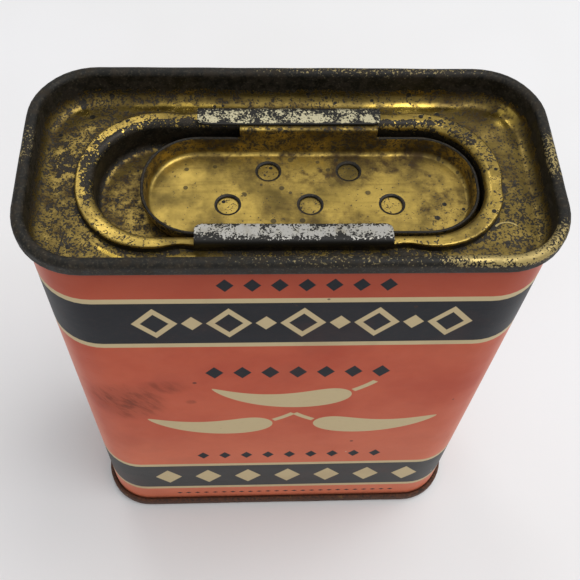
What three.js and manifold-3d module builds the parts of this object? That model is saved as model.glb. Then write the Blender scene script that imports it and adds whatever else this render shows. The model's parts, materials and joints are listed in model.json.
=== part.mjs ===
// A small rectangular spice tin with a sliding sifter top, in millimetres, +Z up.
// The origin is the middle of the base. X runs along the wide front and Y from front to back.
// The tin is folded from thin tinplate: a wrapped body, two ends seamed onto it, and in the top end
// a sunk well with holes in its floor, on which a dish with matching holes slides to open and shut.

import * as THREE from "three";
import { mergeVertices } from "three/addons/utils/BufferGeometryUtils.js";
import Module from "manifold-3d";

const wasm = await Module();
wasm.setup();

// ---- Driving dimensions ----

const SHEET = 0.22; // thickness of all the tinplate
const ARC_STEPS = 6; // flats to a rounded corner seen from above
const BEND_STEPS = 3; // flats to a small bend in the sheet

// The wrapped body.
const BODY_WIDTH = 57;
const BODY_DEPTH = 26;
const BODY_CORNER = 6.7;
const TIN_HEIGHT = 76.4;

// The lock seam down the body's left side, whose hooks stop short of both ends.
const LOCK_SEAM_GAP = 0.04; // between the folded layers
const LOCK_SEAM_HALF = 1.5; // from the seam's middle to the fold of its outer hook
const LOCK_SEAM_SLACK = 0.28; // from a hook's edge to the fold it faces
const LOCK_SEAM_JOG = 0.7; // length over which the inner side steps in
const LOCK_SEAM_GROOVE = 0.4; // groove left between the two sides
const LOCK_SEAM_NOTCH = 5.4; // plain length at each end of the body
const SOLDER_GAP = 0.05;
const SOLDER_DEPTH = 0.6;

// The double seams, which hold the ends on the body.
const SEAM_HEIGHT = 2.0;
const TOP_SEAM_GAP = 0.08; // between the layers outside the body
const BOTTOM_SEAM_GAP = 0.03;
const SEAM_CREST_BEND = 0.25;
const CHUCK_GAP = 0.03; // between the body and the end's wall inside it
const COMPOUND_GAP = 0.05;
const COMPOUND_THICKNESS = 0.2;
const HOOK_SLACK = 0.08; // between a hook's edge and the fold it faces

// The panels of the two ends.
const TOP_COUNTERSINK = 4.3;
const BOTTOM_COUNTERSINK = 3.0;
const PANEL_FILLET = 1.4;

// The sifter well: a flange standing on the top panel, a wall through it and a floor with holes.
const SIFTER_END_MARGIN = 4.1; // from the top end's wall to the flange
const SIFTER_SIDE_MARGIN = 2.8;
const FLANGE_CORNER = 9.25;
const FLANGE_BAND = 1.75;
const FLANGE_HEIGHT = 1.0; // above the panel
const FLANGE_BEND = 0.25;
const WELL_DEPTH = 3.75; // from the flange to the floor
const WELL_FILLET = 0.9;
const WELL_PANEL_GAP = 0.1;
const LOCK_BEAD = 0.35; // swelling under the panel that holds the well in it
const LOCK_BEAD_HEIGHT = 0.7;

// The two ears, bent up from the flange and over the slide's tabs.
const EAR_LENGTH = 21.2;
const EAR_HEIGHT = 0.8; // above the flange
const EAR_DEPTH = 2.7;
const EAR_PROUD = 0.12;
const EAR_BEND = 0.45;
const EAR_CORNER = 0.8;

// The slide: a dish with the same holes as the floor, and a tab on each long side under an ear.
const SLIDE_TRAVEL = 4.5;
const SLIDE_END_GAP = 1.05; // left at either stop
const SLIDE_SIDE_GAP = 1.05;
const SLIDE_FLOOR_GAP = 0.08;
const SLIDE_DEPTH = 2.35;
const SLIDE_RIM = 0.36; // between the two walls of the folded rim
const SLIDE_RIM_DROP = 0.9;
const SLIDE_WALL_LEAN = 0.2;
const SLIDE_FILLET = 0.6;
const TAB_COVER = 0.25; // ear left beyond the tab at either stop
const TAB_LIFT = 0.13; // between the flange and the tab
const TAB_END_GAP = 0.75; // between the tab's edge and the ear's bend

// The holes: a back row of two between a front row of three.
const HOLE_RADIUS = 1.2;
const HOLE_PITCH = 9.4;
const HOLE_ROW_SPACING = 4.85;
const HOLE_ROW_SHIFT = 1.2; // of the middle of the two rows, towards the back
const HOLE_SIDES = 20;

// ---- Worked-out places ----

const bodyFrame = { length: BODY_WIDTH, width: BODY_DEPTH, radius: BODY_CORNER };
const chuckInset = 2 * SHEET + CHUCK_GAP;
const flangeFrame = {
  length: BODY_WIDTH - 2 * (chuckInset + SIFTER_END_MARGIN),
  width: BODY_DEPTH - 2 * (chuckInset + SIFTER_SIDE_MARGIN),
  radius: FLANGE_CORNER,
};
const wellFrame = grown(flangeFrame, -FLANGE_BAND);
const slideFrame = {
  length: wellFrame.length - 2 * SLIDE_END_GAP - SLIDE_TRAVEL,
  width: wellFrame.width - 2 * SLIDE_SIDE_GAP,
  radius: wellFrame.radius - SLIDE_SIDE_GAP,
};
const panelTop = TIN_HEIGHT - TOP_COUNTERSINK;
const flangeTop = panelTop + FLANGE_HEIGHT;
const wellFloor = flangeTop - WELL_DEPTH;
const slideFloor = wellFloor + SLIDE_FLOOR_GAP + SHEET;
const slideRim = slideFloor + SLIDE_DEPTH;
const slideRest = SLIDE_TRAVEL / 2;

// ---- Making solids ----

// The same rounded rectangle, with every side moved out by the reach.
function grown(frame, reach) {
  return {
    length: frame.length + 2 * reach,
    width: frame.width + 2 * reach,
    radius: frame.radius + reach,
  };
}

// The corners of a rounded rectangle round the origin, anticlockwise from above.
// They start at the right-hand end of the back right arc.
function outline({ length, width, radius }) {
  const signs = [[1, 1], [-1, 1], [-1, -1], [1, -1]];
  return signs.flatMap(([alongX, alongY], quarter) =>
    Array.from({ length: ARC_STEPS + 1 }, (_, step) => {
      const angle = ((quarter + step / ARC_STEPS) * Math.PI) / 2;
      return new THREE.Vector2(
        alongX * (length / 2 - radius) + radius * Math.cos(angle),
        alongY * (width / 2 - radius) + radius * Math.sin(angle),
      );
    }),
  );
}

// A quarter-round bend from one angle to the next, as points round a centre.
function bend([across, up], radius, startQuarter, endQuarter) {
  return Array.from({ length: BEND_STEPS + 1 }, (_, step) => {
    const quarter = startQuarter + ((endQuarter - startQuarter) * step) / BEND_STEPS;
    const angle = (quarter * Math.PI) / 2;
    return [across + radius * Math.cos(angle), up + radius * Math.sin(angle)];
  });
}

// Gives a folded line the sheet's thickness: half to each side, mitred at every bend.
// The result runs anticlockwise, from one side of the line's start round to the other.
function sheetAlong(line) {
  const points = line.map(([across, up]) => new THREE.Vector2(across, up));
  const normals = points.slice(1).map((point, index) => {
    const run = point.clone().sub(points[index]).normalize();
    return new THREE.Vector2(run.y, -run.x);
  });
  const side = (half) =>
    points.map((point, index) => {
      const before = normals[Math.max(index - 1, 0)];
      const after = normals[Math.min(index, normals.length - 1)];
      const mitre = before.clone().add(after).divideScalar(1 + before.dot(after));
      return point.clone().add(mitre.multiplyScalar(half));
    });
  return [...side(SHEET / 2), ...side(-SHEET / 2).reverse()];
}

// Carries a section round a rounded rectangle, with each section point as [outward reach, height].
// A closed section makes a ring. A capped one gets a flat lid on its first and last outlines.
function carriedRound(section, frame, capped) {
  const rings = section.map(({ x, y }) =>
    outline(grown(frame, x)).map((corner) => new THREE.Vector3(corner.x, corner.y, y)),
  );
  const sides = rings[0].length;
  const faces = [];
  const strips = capped ? rings.length - 1 : rings.length;
  for (let ring = 0; ring < strips; ring += 1) {
    const next = (ring + 1) % rings.length;
    for (let corner = 0; corner < sides; corner += 1) {
      const beside = (corner + 1) % sides;
      faces.push([ring * sides + corner, ring * sides + beside, next * sides + beside]);
      faces.push([ring * sides + corner, next * sides + beside, next * sides + corner]);
    }
  }
  if (capped) {
    const last = (rings.length - 1) * sides;
    for (let corner = 1; corner < sides - 1; corner += 1) {
      faces.push([0, corner + 1, corner]);
      faces.push([last, last + corner, last + corner + 1]);
    }
  }
  const geometry = new THREE.BufferGeometry().setFromPoints(rings.flat());
  return geometry.setIndex(faces.flat());
}

// A flat shape pushed straight up from one height to another.
function prism(corners, low, high) {
  const shape = new THREE.Shape(corners);
  const push = { depth: high - low, bevelEnabled: false };
  return new THREE.ExtrudeGeometry(shape, push).translate(0, 0, low);
}

// A section in the YZ plane pushed along X, with the length centred on a place.
function barAlongX(section, length, middle) {
  const shape = new THREE.Shape(section);
  const bar = new THREE.ExtrudeGeometry(shape, { depth: length, bevelEnabled: false });
  // The shape's own axes are across and up, and the push goes towards the viewer.
  const toYZ = new THREE.Matrix4().makeBasis(
    new THREE.Vector3(0, 1, 0),
    new THREE.Vector3(0, 0, 1),
    new THREE.Vector3(1, 0, 0),
  );
  return bar.applyMatrix4(toYZ).translate(middle - length / 2, 0, 0);
}

function toSolid(geometry) {
  const bare = geometry.clone();
  bare.deleteAttribute("normal");
  bare.deleteAttribute("uv");
  const merged = mergeVertices(bare);
  return new wasm.Manifold(
    new wasm.Mesh({
      numProp: 3,
      vertProperties: merged.attributes.position.array,
      triVerts: new Uint32Array(merged.index.array),
    }),
  );
}

function toGeometry(solid) {
  const { vertProperties, triVerts } = solid.getMesh();
  return new THREE.BufferGeometry()
    .setAttribute("position", new THREE.BufferAttribute(vertProperties, 3))
    .setIndex(new THREE.BufferAttribute(triVerts, 1));
}

function joined(...geometries) {
  const solids = geometries.map(toSolid);
  return toGeometry(solids.reduce((whole, solid) => whole.add(solid)));
}

function cutBy(geometry, ...cutters) {
  const solids = cutters.map(toSolid);
  return toGeometry(solids.reduce((left, cutter) => left.subtract(cutter), toSolid(geometry)));
}

// A piece drawn for the top end, turned over onto the bottom.
function turnedOver(geometry) {
  return geometry.rotateX(Math.PI);
}

function raised(geometry) {
  return geometry.translate(0, 0, TIN_HEIGHT);
}

// ---- The double seam, drawn with its crest at height 0 ----

// Middles of the seam's upright layers, as reach from the body's outer face.
function seamLayers(gap) {
  const layer = (index) => (index + 1) * gap + (index + 0.5) * SHEET;
  return {
    chuckWall: -(chuckInset - SHEET / 2),
    endHook: layer(0),
    bodyHook: layer(1),
    outerWall: layer(2),
  };
}

const seamFold = -SEAM_HEIGHT + SHEET / 2; // where the end turns in under the body's hook
const compoundTop = -(SHEET + COMPOUND_GAP);
const compoundBase = compoundTop - COMPOUND_THICKNESS;
const flangeMiddle = compoundBase - COMPOUND_GAP - SHEET / 2;

// An end of the tin: its panel, the wall inside the body, and the hook over the body's edge.
function endPlate(seamGap, countersink) {
  const { chuckWall, endHook, outerWall } = seamLayers(seamGap);
  const panel = -countersink - SHEET / 2;
  const filletMiddle = PANEL_FILLET + SHEET / 2;
  const crest = -SHEET / 2;
  const section = sheetAlong([
    [chuckWall - BODY_CORNER / 2, panel],
    ...bend([chuckWall - filletMiddle, panel + filletMiddle], filletMiddle, 3, 4),
    ...bend([chuckWall + SEAM_CREST_BEND, crest - SEAM_CREST_BEND], SEAM_CREST_BEND, 2, 1),
    ...bend([outerWall - SEAM_CREST_BEND, crest - SEAM_CREST_BEND], SEAM_CREST_BEND, 1, 0),
    [outerWall, seamFold],
    [endHook, seamFold],
    [endHook, flangeMiddle - SHEET / 2 - HOOK_SLACK],
  ]);
  return carriedRound(section, bodyFrame, true);
}

// The body's own edge: a short plain wall turned out and down as the body's hook.
function bodyEdge(seamGap) {
  const { bodyHook } = seamLayers(seamGap);
  const section = sheetAlong([
    [-SHEET / 2, -LOCK_SEAM_NOTCH],
    [-SHEET / 2, flangeMiddle],
    [bodyHook, flangeMiddle],
    [bodyHook, seamFold + SHEET / 2 + HOOK_SLACK],
  ]);
  return carriedRound(section, bodyFrame, false);
}

// The sealing compound squeezed between the end's crest and the body's edge.
function compoundRing(seamGap) {
  const { bodyHook } = seamLayers(seamGap);
  const section = [
    new THREE.Vector2(0, compoundBase),
    new THREE.Vector2(bodyHook, compoundBase),
    new THREE.Vector2(bodyHook, compoundTop),
    new THREE.Vector2(0, compoundTop),
  ];
  return carriedRound(section, bodyFrame, false);
}

// ---- The lock seam, on the body's left side ----

// The outer face of a layer of the lock seam, counted inwards from the body's own.
function lockLayer(index) {
  return -BODY_WIDTH / 2 + index * (SHEET + LOCK_SEAM_GAP);
}

const jogStart = LOCK_SEAM_HALF + LOCK_SEAM_GROOVE + LOCK_SEAM_JOG;
const jogEnd = LOCK_SEAM_HALF + LOCK_SEAM_GROOVE;

// The body's sheet seen from above: once round from the outer hook's fold to the inner hook.
function wrapOutline() {
  const quarter = ARC_STEPS + 1;
  const fromLeftFront = (corners) => [
    ...corners.slice(2 * quarter),
    ...corners.slice(0, 2 * quarter),
  ];
  const outside = fromLeftFront(outline(bodyFrame));
  const inside = fromLeftFront(outline(grown(bodyFrame, -SHEET))).reverse();
  const outerFold = LOCK_SEAM_HALF;
  const innerFold = -LOCK_SEAM_HALF;
  const inFrontOf = (fold) => fold + SHEET + LOCK_SEAM_SLACK;
  const behind = (fold) => fold - SHEET - LOCK_SEAM_SLACK;
  const innerHook = [
    [lockLayer(0), jogStart],
    [lockLayer(3), jogEnd],
    [lockLayer(3), innerFold + SHEET],
    [lockLayer(1) + SHEET, innerFold + SHEET],
    [lockLayer(1) + SHEET, behind(outerFold)],
    [lockLayer(1), behind(outerFold)],
    [lockLayer(1), innerFold],
    [lockLayer(3) + SHEET, innerFold],
    [lockLayer(3) + SHEET, jogEnd],
    [lockLayer(0) + SHEET, jogStart],
  ];
  const outerHook = [
    [lockLayer(0) + SHEET, outerFold - SHEET],
    [lockLayer(2), outerFold - SHEET],
    [lockLayer(2), inFrontOf(innerFold)],
    [lockLayer(2) + SHEET, inFrontOf(innerFold)],
    [lockLayer(2) + SHEET, outerFold],
    [lockLayer(0), outerFold],
  ];
  const corner = ([x, y]) => new THREE.Vector2(x, y);
  return [...outside, ...innerHook.map(corner), ...inside, ...outerHook.map(corner)];
}

function wrappedWall() {
  const edgeOverlap = SHEET;
  const low = LOCK_SEAM_NOTCH - edgeOverlap;
  return prism(wrapOutline(), low, TIN_HEIGHT - low);
}

// The solder run into the groove between the seam's two sides.
function solderBead() {
  const face = lockLayer(0) + SOLDER_GAP;
  const root = face + SOLDER_DEPTH;
  const hook = LOCK_SEAM_HALF + SOLDER_GAP;
  const slope = (jogStart - jogEnd) / (lockLayer(3) - lockLayer(0));
  const beside = (x) => jogStart - slope * (x - lockLayer(0)) - 2 * SOLDER_GAP;
  const corners = [[face, hook], [root, hook], [root, beside(root)], [face, beside(face)]];
  const bead = corners.map(([x, y]) => new THREE.Vector2(x, y));
  const low = LOCK_SEAM_NOTCH + SOLDER_GAP;
  return prism(bead, low, TIN_HEIGHT - low);
}

// ---- The sifter ----

// One upright cutter for each hole, with the pattern's middle at a place along X.
function holeCutters(middle) {
  const rows = [
    { columns: [-0.5, 0.5], side: 1 },
    { columns: [-1, 0, 1], side: -1 },
  ];
  return rows.flatMap(({ columns, side }) =>
    columns.map((column) => {
      const y = HOLE_ROW_SHIFT + (side * HOLE_ROW_SPACING) / 2;
      const x = middle + column * HOLE_PITCH;
      const cutter = new THREE.CylinderGeometry(HOLE_RADIUS, HOLE_RADIUS, WELL_DEPTH, HOLE_SIDES);
      return cutter.rotateX(Math.PI / 2).translate(x, y, wellFloor);
    }),
  );
}

function wellShell() {
  const wall = SHEET / 2;
  const floor = wellFloor - SHEET / 2;
  const band = flangeTop - SHEET / 2;
  const skirt = FLANGE_BAND - SHEET / 2;
  const filletMiddle = WELL_FILLET + SHEET / 2;
  const beadTop = panelTop - SHEET - WELL_PANEL_GAP - SHEET / 2;
  const beadSlope = LOCK_BEAD / 2;
  const section = sheetAlong([
    [-wellFrame.radius / 2, floor],
    ...bend([wall - filletMiddle, floor + filletMiddle], filletMiddle, 3, 4),
    [wall, beadTop - LOCK_BEAD_HEIGHT],
    [wall + LOCK_BEAD, beadTop - LOCK_BEAD_HEIGHT + beadSlope],
    [wall + LOCK_BEAD, beadTop - beadSlope],
    [wall, beadTop],
    ...bend([wall + FLANGE_BEND, band - FLANGE_BEND], FLANGE_BEND, 2, 1),
    ...bend([skirt - FLANGE_BEND, band - FLANGE_BEND], FLANGE_BEND, 1, 0),
    [skirt, panelTop + WELL_PANEL_GAP],
  ]);
  return carriedRound(section, wellFrame, true);
}

// The ear at the back, or the front one when side is -1.
function ear(side) {
  const outside = flangeFrame.width / 2 + EAR_PROUD - SHEET / 2;
  const top = flangeTop + EAR_HEIGHT - SHEET / 2;
  const freeEdge = outside + SHEET / 2 - EAR_DEPTH;
  const line = [
    [outside, panelTop + WELL_PANEL_GAP],
    ...bend([outside - EAR_BEND, top - EAR_BEND], EAR_BEND, 0, 1),
    [freeEdge, top],
  ];
  const section = sheetAlong(line.map(([y, z]) => [side * y, z]));
  const bar = toSolid(barAlongX(section, EAR_LENGTH, 0));
  const plan = { length: EAR_LENGTH, width: EAR_DEPTH + EAR_CORNER, radius: EAR_CORNER };
  const trim = prism(outline(plan), wellFloor, TIN_HEIGHT);
  trim.translate(0, side * (freeEdge + plan.width / 2), 0);
  return toGeometry(bar.intersect(toSolid(trim)));
}

function sifterWell() {
  const shell = joined(wellShell(), ear(1), ear(-1));
  return cutBy(shell, ...holeCutters(slideRest - SLIDE_TRAVEL));
}

function topEnd() {
  const opening = outline(grown(wellFrame, SHEET + WELL_PANEL_GAP));
  const plate = raised(endPlate(TOP_SEAM_GAP, TOP_COUNTERSINK));
  return cutBy(plate, prism(opening, wellFloor, flangeTop));
}

function dish() {
  const floor = slideFloor - SHEET / 2;
  const crest = slideRim - SHEET / 2;
  const outer = -SHEET / 2;
  const inner = outer - SLIDE_RIM;
  const foot = inner - SLIDE_WALL_LEAN;
  const crestBend = SLIDE_RIM / 2;
  const filletMiddle = SLIDE_FILLET + SHEET / 2;
  const section = sheetAlong([
    [-slideFrame.radius / 2, floor],
    ...bend([foot - filletMiddle, floor + filletMiddle], filletMiddle, 3, 4),
    ...bend([inner + crestBend, crest - crestBend], crestBend, 2, 0),
    [outer, crest - SLIDE_RIM_DROP],
  ]);
  return carriedRound(section, slideFrame, true);
}

// The tab at the back, or the front one when side is -1: up from the rim and out over the flange.
function tab(side) {
  const upright = slideFrame.width / 2 - SHEET / 2 - SLIDE_RIM / 4;
  const top = flangeTop + TAB_LIFT + SHEET / 2;
  const edge = flangeFrame.width / 2 - TAB_END_GAP;
  const line = [
    [upright, slideRim - SLIDE_RIM_DROP],
    ...bend([upright + FLANGE_BEND, top - FLANGE_BEND], FLANGE_BEND, 2, 1),
    [edge, top],
  ];
  const section = sheetAlong(line.map(([y, z]) => [side * y, z]));
  return barAlongX(section, EAR_LENGTH - SLIDE_TRAVEL - 2 * TAB_COVER, 0);
}

// The slide at its shut stop, at the right-hand end of the well.
function sifterSlide() {
  const shell = joined(dish(), tab(1), tab(-1)).translate(slideRest, 0, 0);
  return cutBy(shell, ...holeCutters(slideRest));
}

// ---- The scene ----

function tinplate(color, roughness, metalness) {
  return new THREE.MeshStandardMaterial({ color, roughness, metalness });
}

const materials = {
  printed: tinplate(0xb85a44, 0.45, 0.1),
  goldLacquer: tinplate(0x9c8440, 0.35, 0.9),
  brightLacquer: tinplate(0xc2a458, 0.3, 0.9),
  darkBase: tinplate(0x5a4a34, 0.6, 0.7),
  compound: tinplate(0x3a3630, 0.9, 0),
  solder: tinplate(0x8c8c86, 0.5, 0.8),
};

function piece(name, geometry, material) {
  const mesh = new THREE.Mesh(geometry, material);
  mesh.name = name;
  return mesh;
}

const body = joined(
  wrappedWall(),
  raised(bodyEdge(TOP_SEAM_GAP)),
  turnedOver(bodyEdge(BOTTOM_SEAM_GAP)),
);

const bottomEnd = turnedOver(endPlate(BOTTOM_SEAM_GAP, BOTTOM_COUNTERSINK));

const tin = new THREE.Group();
tin.add(
  piece("body", body, materials.printed),
  piece("side_seam_solder", solderBead(), materials.solder),
  piece("top_end", topEnd(), materials.goldLacquer),
  piece("bottom_end", bottomEnd, materials.darkBase),
  piece("top_seam_compound", raised(compoundRing(TOP_SEAM_GAP)), materials.compound),
  piece("bottom_seam_compound", turnedOver(compoundRing(BOTTOM_SEAM_GAP)), materials.compound),
  piece("sifter_well", sifterWell(), materials.brightLacquer),
  piece("sifter_slide", sifterSlide(), materials.brightLacquer),
);

export default tin;
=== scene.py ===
# %% [markdown]
# # A spice tin of thin printed tinplate
#
# A spice tin is almost nothing but sheet: a printed wrapper, an end folded over each edge of it,
# a sunk pan in the top and a little dish that slides in the pan. Every piece here is therefore one
# visible surface, worked out with numpy as rows and columns of points, that is then given the
# thickness of the sheet. The mechanical model is loaded first and never moved: it says where each
# piece is, and the finer pieces made below stand in for its faceted ones.

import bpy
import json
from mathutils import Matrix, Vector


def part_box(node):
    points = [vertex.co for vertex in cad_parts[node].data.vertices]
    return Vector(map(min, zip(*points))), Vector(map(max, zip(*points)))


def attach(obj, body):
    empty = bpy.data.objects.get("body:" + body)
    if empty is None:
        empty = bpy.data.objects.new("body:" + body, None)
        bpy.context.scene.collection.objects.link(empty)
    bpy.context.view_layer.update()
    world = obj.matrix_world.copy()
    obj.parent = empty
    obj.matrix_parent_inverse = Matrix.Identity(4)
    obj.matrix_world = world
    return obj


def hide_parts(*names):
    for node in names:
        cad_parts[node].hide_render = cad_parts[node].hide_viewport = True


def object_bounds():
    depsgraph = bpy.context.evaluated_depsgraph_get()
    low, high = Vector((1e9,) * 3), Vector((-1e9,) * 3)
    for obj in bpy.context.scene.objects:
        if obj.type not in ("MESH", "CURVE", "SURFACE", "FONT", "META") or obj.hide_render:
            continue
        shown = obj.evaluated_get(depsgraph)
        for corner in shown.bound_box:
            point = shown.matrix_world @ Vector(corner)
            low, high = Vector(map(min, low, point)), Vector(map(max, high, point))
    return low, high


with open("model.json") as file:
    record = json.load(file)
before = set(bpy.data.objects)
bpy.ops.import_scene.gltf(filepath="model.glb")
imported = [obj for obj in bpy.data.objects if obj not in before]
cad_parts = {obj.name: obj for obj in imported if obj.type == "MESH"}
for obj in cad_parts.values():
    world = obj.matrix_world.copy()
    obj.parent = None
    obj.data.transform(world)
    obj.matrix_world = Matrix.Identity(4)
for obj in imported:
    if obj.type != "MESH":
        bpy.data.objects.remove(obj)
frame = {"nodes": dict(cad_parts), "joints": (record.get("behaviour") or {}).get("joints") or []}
cad_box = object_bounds()
print("mechanical pieces:", ", ".join(sorted(frame["nodes"])))

# %% The rest of the tools
import json

import bpy
import numpy as np
from mathutils import Matrix, Vector

MM = 0.001  # metres in a millimetre: shapes are worked out in millimetres


def corners_mm(corners):
    """A pair of corners in metres, as two arrays in millimetres."""
    return [np.array(corner, float) / MM for corner in corners]


def extent_mm(node):
    """Length, width and height of a mechanical piece."""
    low, high = corners_mm(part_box(node))
    return high - low


whole_low, whole_high = corners_mm(cad_box)
print("whole tin, mm:", np.round(whole_high - whole_low, 2))

# %% [markdown]
# ## Sizes
#
# Places come from the mechanical model's boxes wherever a box gives them. What a box can't give,
# such as the thickness of the sheet or the radius of a bend, is a named value in millimetres.

# %% Sizes of the wrapper and its seams
SHEET = 0.22
TIN_HEIGHT = whole_high[2]
TOP_SEAM_REACH = 0.9  # from the wrapper's face to the outside of the seam
BOTTOM_SEAM_REACH = 0.75
SEAM_HEIGHT = 2.0
CHUCK_INSET = 2 * SHEET + 0.03  # from the wrapper's face in to the end's standing wall
TOP_COUNTERSINK = 4.3
BOTTOM_COUNTERSINK = 3.0
PANEL_FILLET = 1.4
WRAPPER = {
    "length": whole_high[0] - whole_low[0] - 2 * TOP_SEAM_REACH,
    "width": whole_high[1] - whole_low[1] - 2 * TOP_SEAM_REACH,
    "radius": 6.7,
}
PANEL_TOP = TIN_HEIGHT - TOP_COUNTERSINK
print("wrapper, mm:", {key: round(float(value), 2) for key, value in WRAPPER.items()})

# %% Sizes of the well, its ears and the dish
FLANGE_BAND = 1.75
FLANGE_HEIGHT = 1.0
WELL_DEPTH = 3.75
EAR_PROUD = 0.12  # how far an ear stands out past the flange
EAR_DEPTH = 2.7  # from an ear's outside in to its free edge
DISH_FLARE = 0.25  # how far the dish's ends are sprung outwards by use
DISH_SIDE_GAP = 1.05
DISH_DEPTH = 2.35
DISH_FLOOR_GAP = 0.08
TAB_EDGE_IN = 0.75  # from the flange's outside to the tab's edge
TRAVEL = -frame["joints"][0]["range_m"][0] / MM
HOLE_RADIUS = 1.2
HOLE_PITCH = 9.4
HOLE_ROW_SPACING = 4.85
HOLE_ROW_SHIFT = 1.2  # the rows lie slightly towards the back

well_size = extent_mm("sifter_well")
well_high = corners_mm(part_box("sifter_well"))[1]
WELL = {
    "length": well_size[0] - 2 * FLANGE_BAND,
    "width": well_size[1] - 2 * (EAR_PROUD + FLANGE_BAND),
    "radius": 7.5,
}
FLANGE_TOP = PANEL_TOP + FLANGE_HEIGHT
WELL_FLOOR = FLANGE_TOP - WELL_DEPTH
EAR_TOP = well_high[2]
dish_low, dish_high = corners_mm(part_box("sifter_slide"))
DISH = {
    "length": dish_high[0] - dish_low[0] + 2 * DISH_FLARE,
    "width": WELL["width"] - 2 * DISH_SIDE_GAP,
    "radius": WELL["radius"] - DISH_SIDE_GAP,
}
DISH_MIDDLE = (dish_low[0] + dish_high[0]) / 2
DISH_FLOOR = WELL_FLOOR + DISH_FLOOR_GAP + SHEET
DISH_RIM = DISH_FLOOR + DISH_DEPTH
print(f"flange at {FLANGE_TOP:.2f}, well floor at {WELL_FLOOR:.2f}, dish floor at {DISH_FLOOR:.2f} mm")

# %% [markdown]
# ## One outline for everything
#
# Seen from above, every piece is the same kind of shape: a rectangle with round corners. All of
# them are cut into the same number of points, in the same order, so point 40 of the wrapper lies
# beside point 40 of the well. That lets a surface run from any outline to any other without a
# seam. The directions that point outwards are kept as well, because a bent profile is carried
# round by pushing each point out or in along them.

# %% The rounded rectangle
ARC_STEPS = 11
CELL_STEPS = 14  # steps along one side of a floor cell, which the sides below add up to
SHORT_STEPS = 2 * CELL_STEPS - 2 * ARC_STEPS
LONG_STEPS = 5 * CELL_STEPS


def outline(length, width, radius):
    """Points and outward directions round a rounded rectangle, anticlockwise from above.

    A corner's point is the corner's centre plus the radius times (cos a, sin a), where the angle a
    runs evenly through a quarter turn. A side's points divide the straight line evenly.
    """
    reach = np.array([length, width]) / 2 - radius
    signs = np.array([(1, 1), (-1, 1), (-1, -1), (1, -1)])
    points, outward = [], []
    for quarter, steps in enumerate((LONG_STEPS, SHORT_STEPS) * 2):
        angle = (quarter + np.linspace(0, 1, ARC_STEPS + 1)) * np.pi / 2
        away = np.column_stack([np.cos(angle), np.sin(angle)])
        corner = signs[quarter] * reach + radius * away
        line_end = signs[(quarter + 1) % 4] * reach + radius * away[-1]
        share = np.arange(1, steps)[:, None] / steps
        points += [corner, corner[-1] + share * (line_end - corner[-1])]
        outward += [away, np.repeat(away[-1:], steps - 1, axis=0)]
    return np.concatenate(points), np.concatenate(outward)


print("points round an outline:", len(outline(**WRAPPER)[0]))

# %% Profiles and carrying them round


def arc(across, up, wide, high, start, end, steps=8):
    """Points of an elliptic bend: centre plus (wide cos a, high sin a), a in degrees."""
    angle = np.radians(np.linspace(start, end, steps + 1))
    return np.column_stack([across + wide * np.cos(angle), up + high * np.sin(angle)])


def line(start, end, steps):
    """Points that divide a straight stretch of a profile evenly, without its two ends."""
    share = np.arange(1, steps)[:, None] / steps
    return np.array(start) + share * (np.array(end) - np.array(start))


def carried(profile, shape):
    """A grid of points: row i, column j is the outline's point j pushed out by the profile's
    reach i, at the profile's height i."""
    flat, outward = outline(**shape)
    reach, height = np.asarray(profile).T
    plan = flat[None] + reach[:, None, None] * outward[None]
    return np.dstack([plan, np.broadcast_to(height[:, None], plan.shape[:2])])


def ruled(outer, inner, steps):
    """A grid whose columns are straight lines from one ring of points to another."""
    share = np.linspace(0, 1, steps + 1)[:, None, None]
    return outer[None] + share * (inner - outer)[None]


print("a quarter bend carried round:", carried(arc(0, 0, 1, 1, 0, 90), WRAPPER).shape)

# %% [markdown]
# ## From a surface to a piece of sheet
#
# A grid is only a list of points. Quads join each point to the next in its row and column; where
# several grids meet, their shared points are welded into one. Then the sheet gets its thickness:
# each point gets a partner on the other side of the metal, and a strip closes every free edge.
# Doing this in numpy instead of with a Solidify modifier lets the metal be thinned where a hole
# is pressed, so that the dish doesn't scrape on the floor under it.

# %% Grids, welding and thickness


def quads_of(grid, around=False):
    """The points and quads of a grid whose rows run from outside in and columns anticlockwise."""
    rows, columns = grid.shape[:2]
    index = np.arange(rows * columns).reshape(rows, columns)
    if around:
        index = np.column_stack([index, index[:, 0]])
    below, above = index[:-1], index[1:]
    quads = np.dstack([below[:, :-1], below[:, 1:], above[:, 1:], above[:, :-1]])
    return grid.reshape(-1, 3), quads.reshape(-1, 4)


def welded(*patches):
    """Several patches as one: points that agree to a ten-thousandth of a millimetre are merged."""
    starts = np.cumsum([0] + [len(points) for points, _ in patches[:-1]])
    points = np.concatenate([points for points, _ in patches])
    quads = np.concatenate([quads + start for (_, quads), start in zip(patches, starts)])
    _, first, same = np.unique(np.round(points, 4), axis=0, return_index=True, return_inverse=True)
    return points[first], same.reshape(-1)[quads]


def normals_of(points, quads):
    """At each point, the sum of the cross products of the diagonals of the quads round it."""
    corner = points[quads]
    across = np.cross(corner[:, 2] - corner[:, 0], corner[:, 3] - corner[:, 1])
    total = np.zeros_like(points)
    np.add.at(total, quads, across[:, None, :])
    return total / np.linalg.norm(total, axis=1, keepdims=True)


def thickened(points, quads, lowest=None):
    """Each point's partner is one sheet under it, and never below the lowest height given.
    An edge that only one quad uses is a free edge, and gets a strip."""
    partner = points - SHEET * normals_of(points, quads)
    if lowest is not None:
        partner[:, 2] = np.maximum(partner[:, 2], np.minimum(lowest, points[:, 2] - 0.05))
    count = len(points)
    edges = np.concatenate([quads[:, [side, (side + 1) % 4]] for side in range(4)])
    free = edges[~np.isin(edges @ [count, 1], edges @ [1, count])]
    strip = np.column_stack([free[:, ::-1], free + count])
    faces = np.concatenate([quads, quads[:, ::-1] + count, strip])
    return np.concatenate([points, partner]), faces


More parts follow.
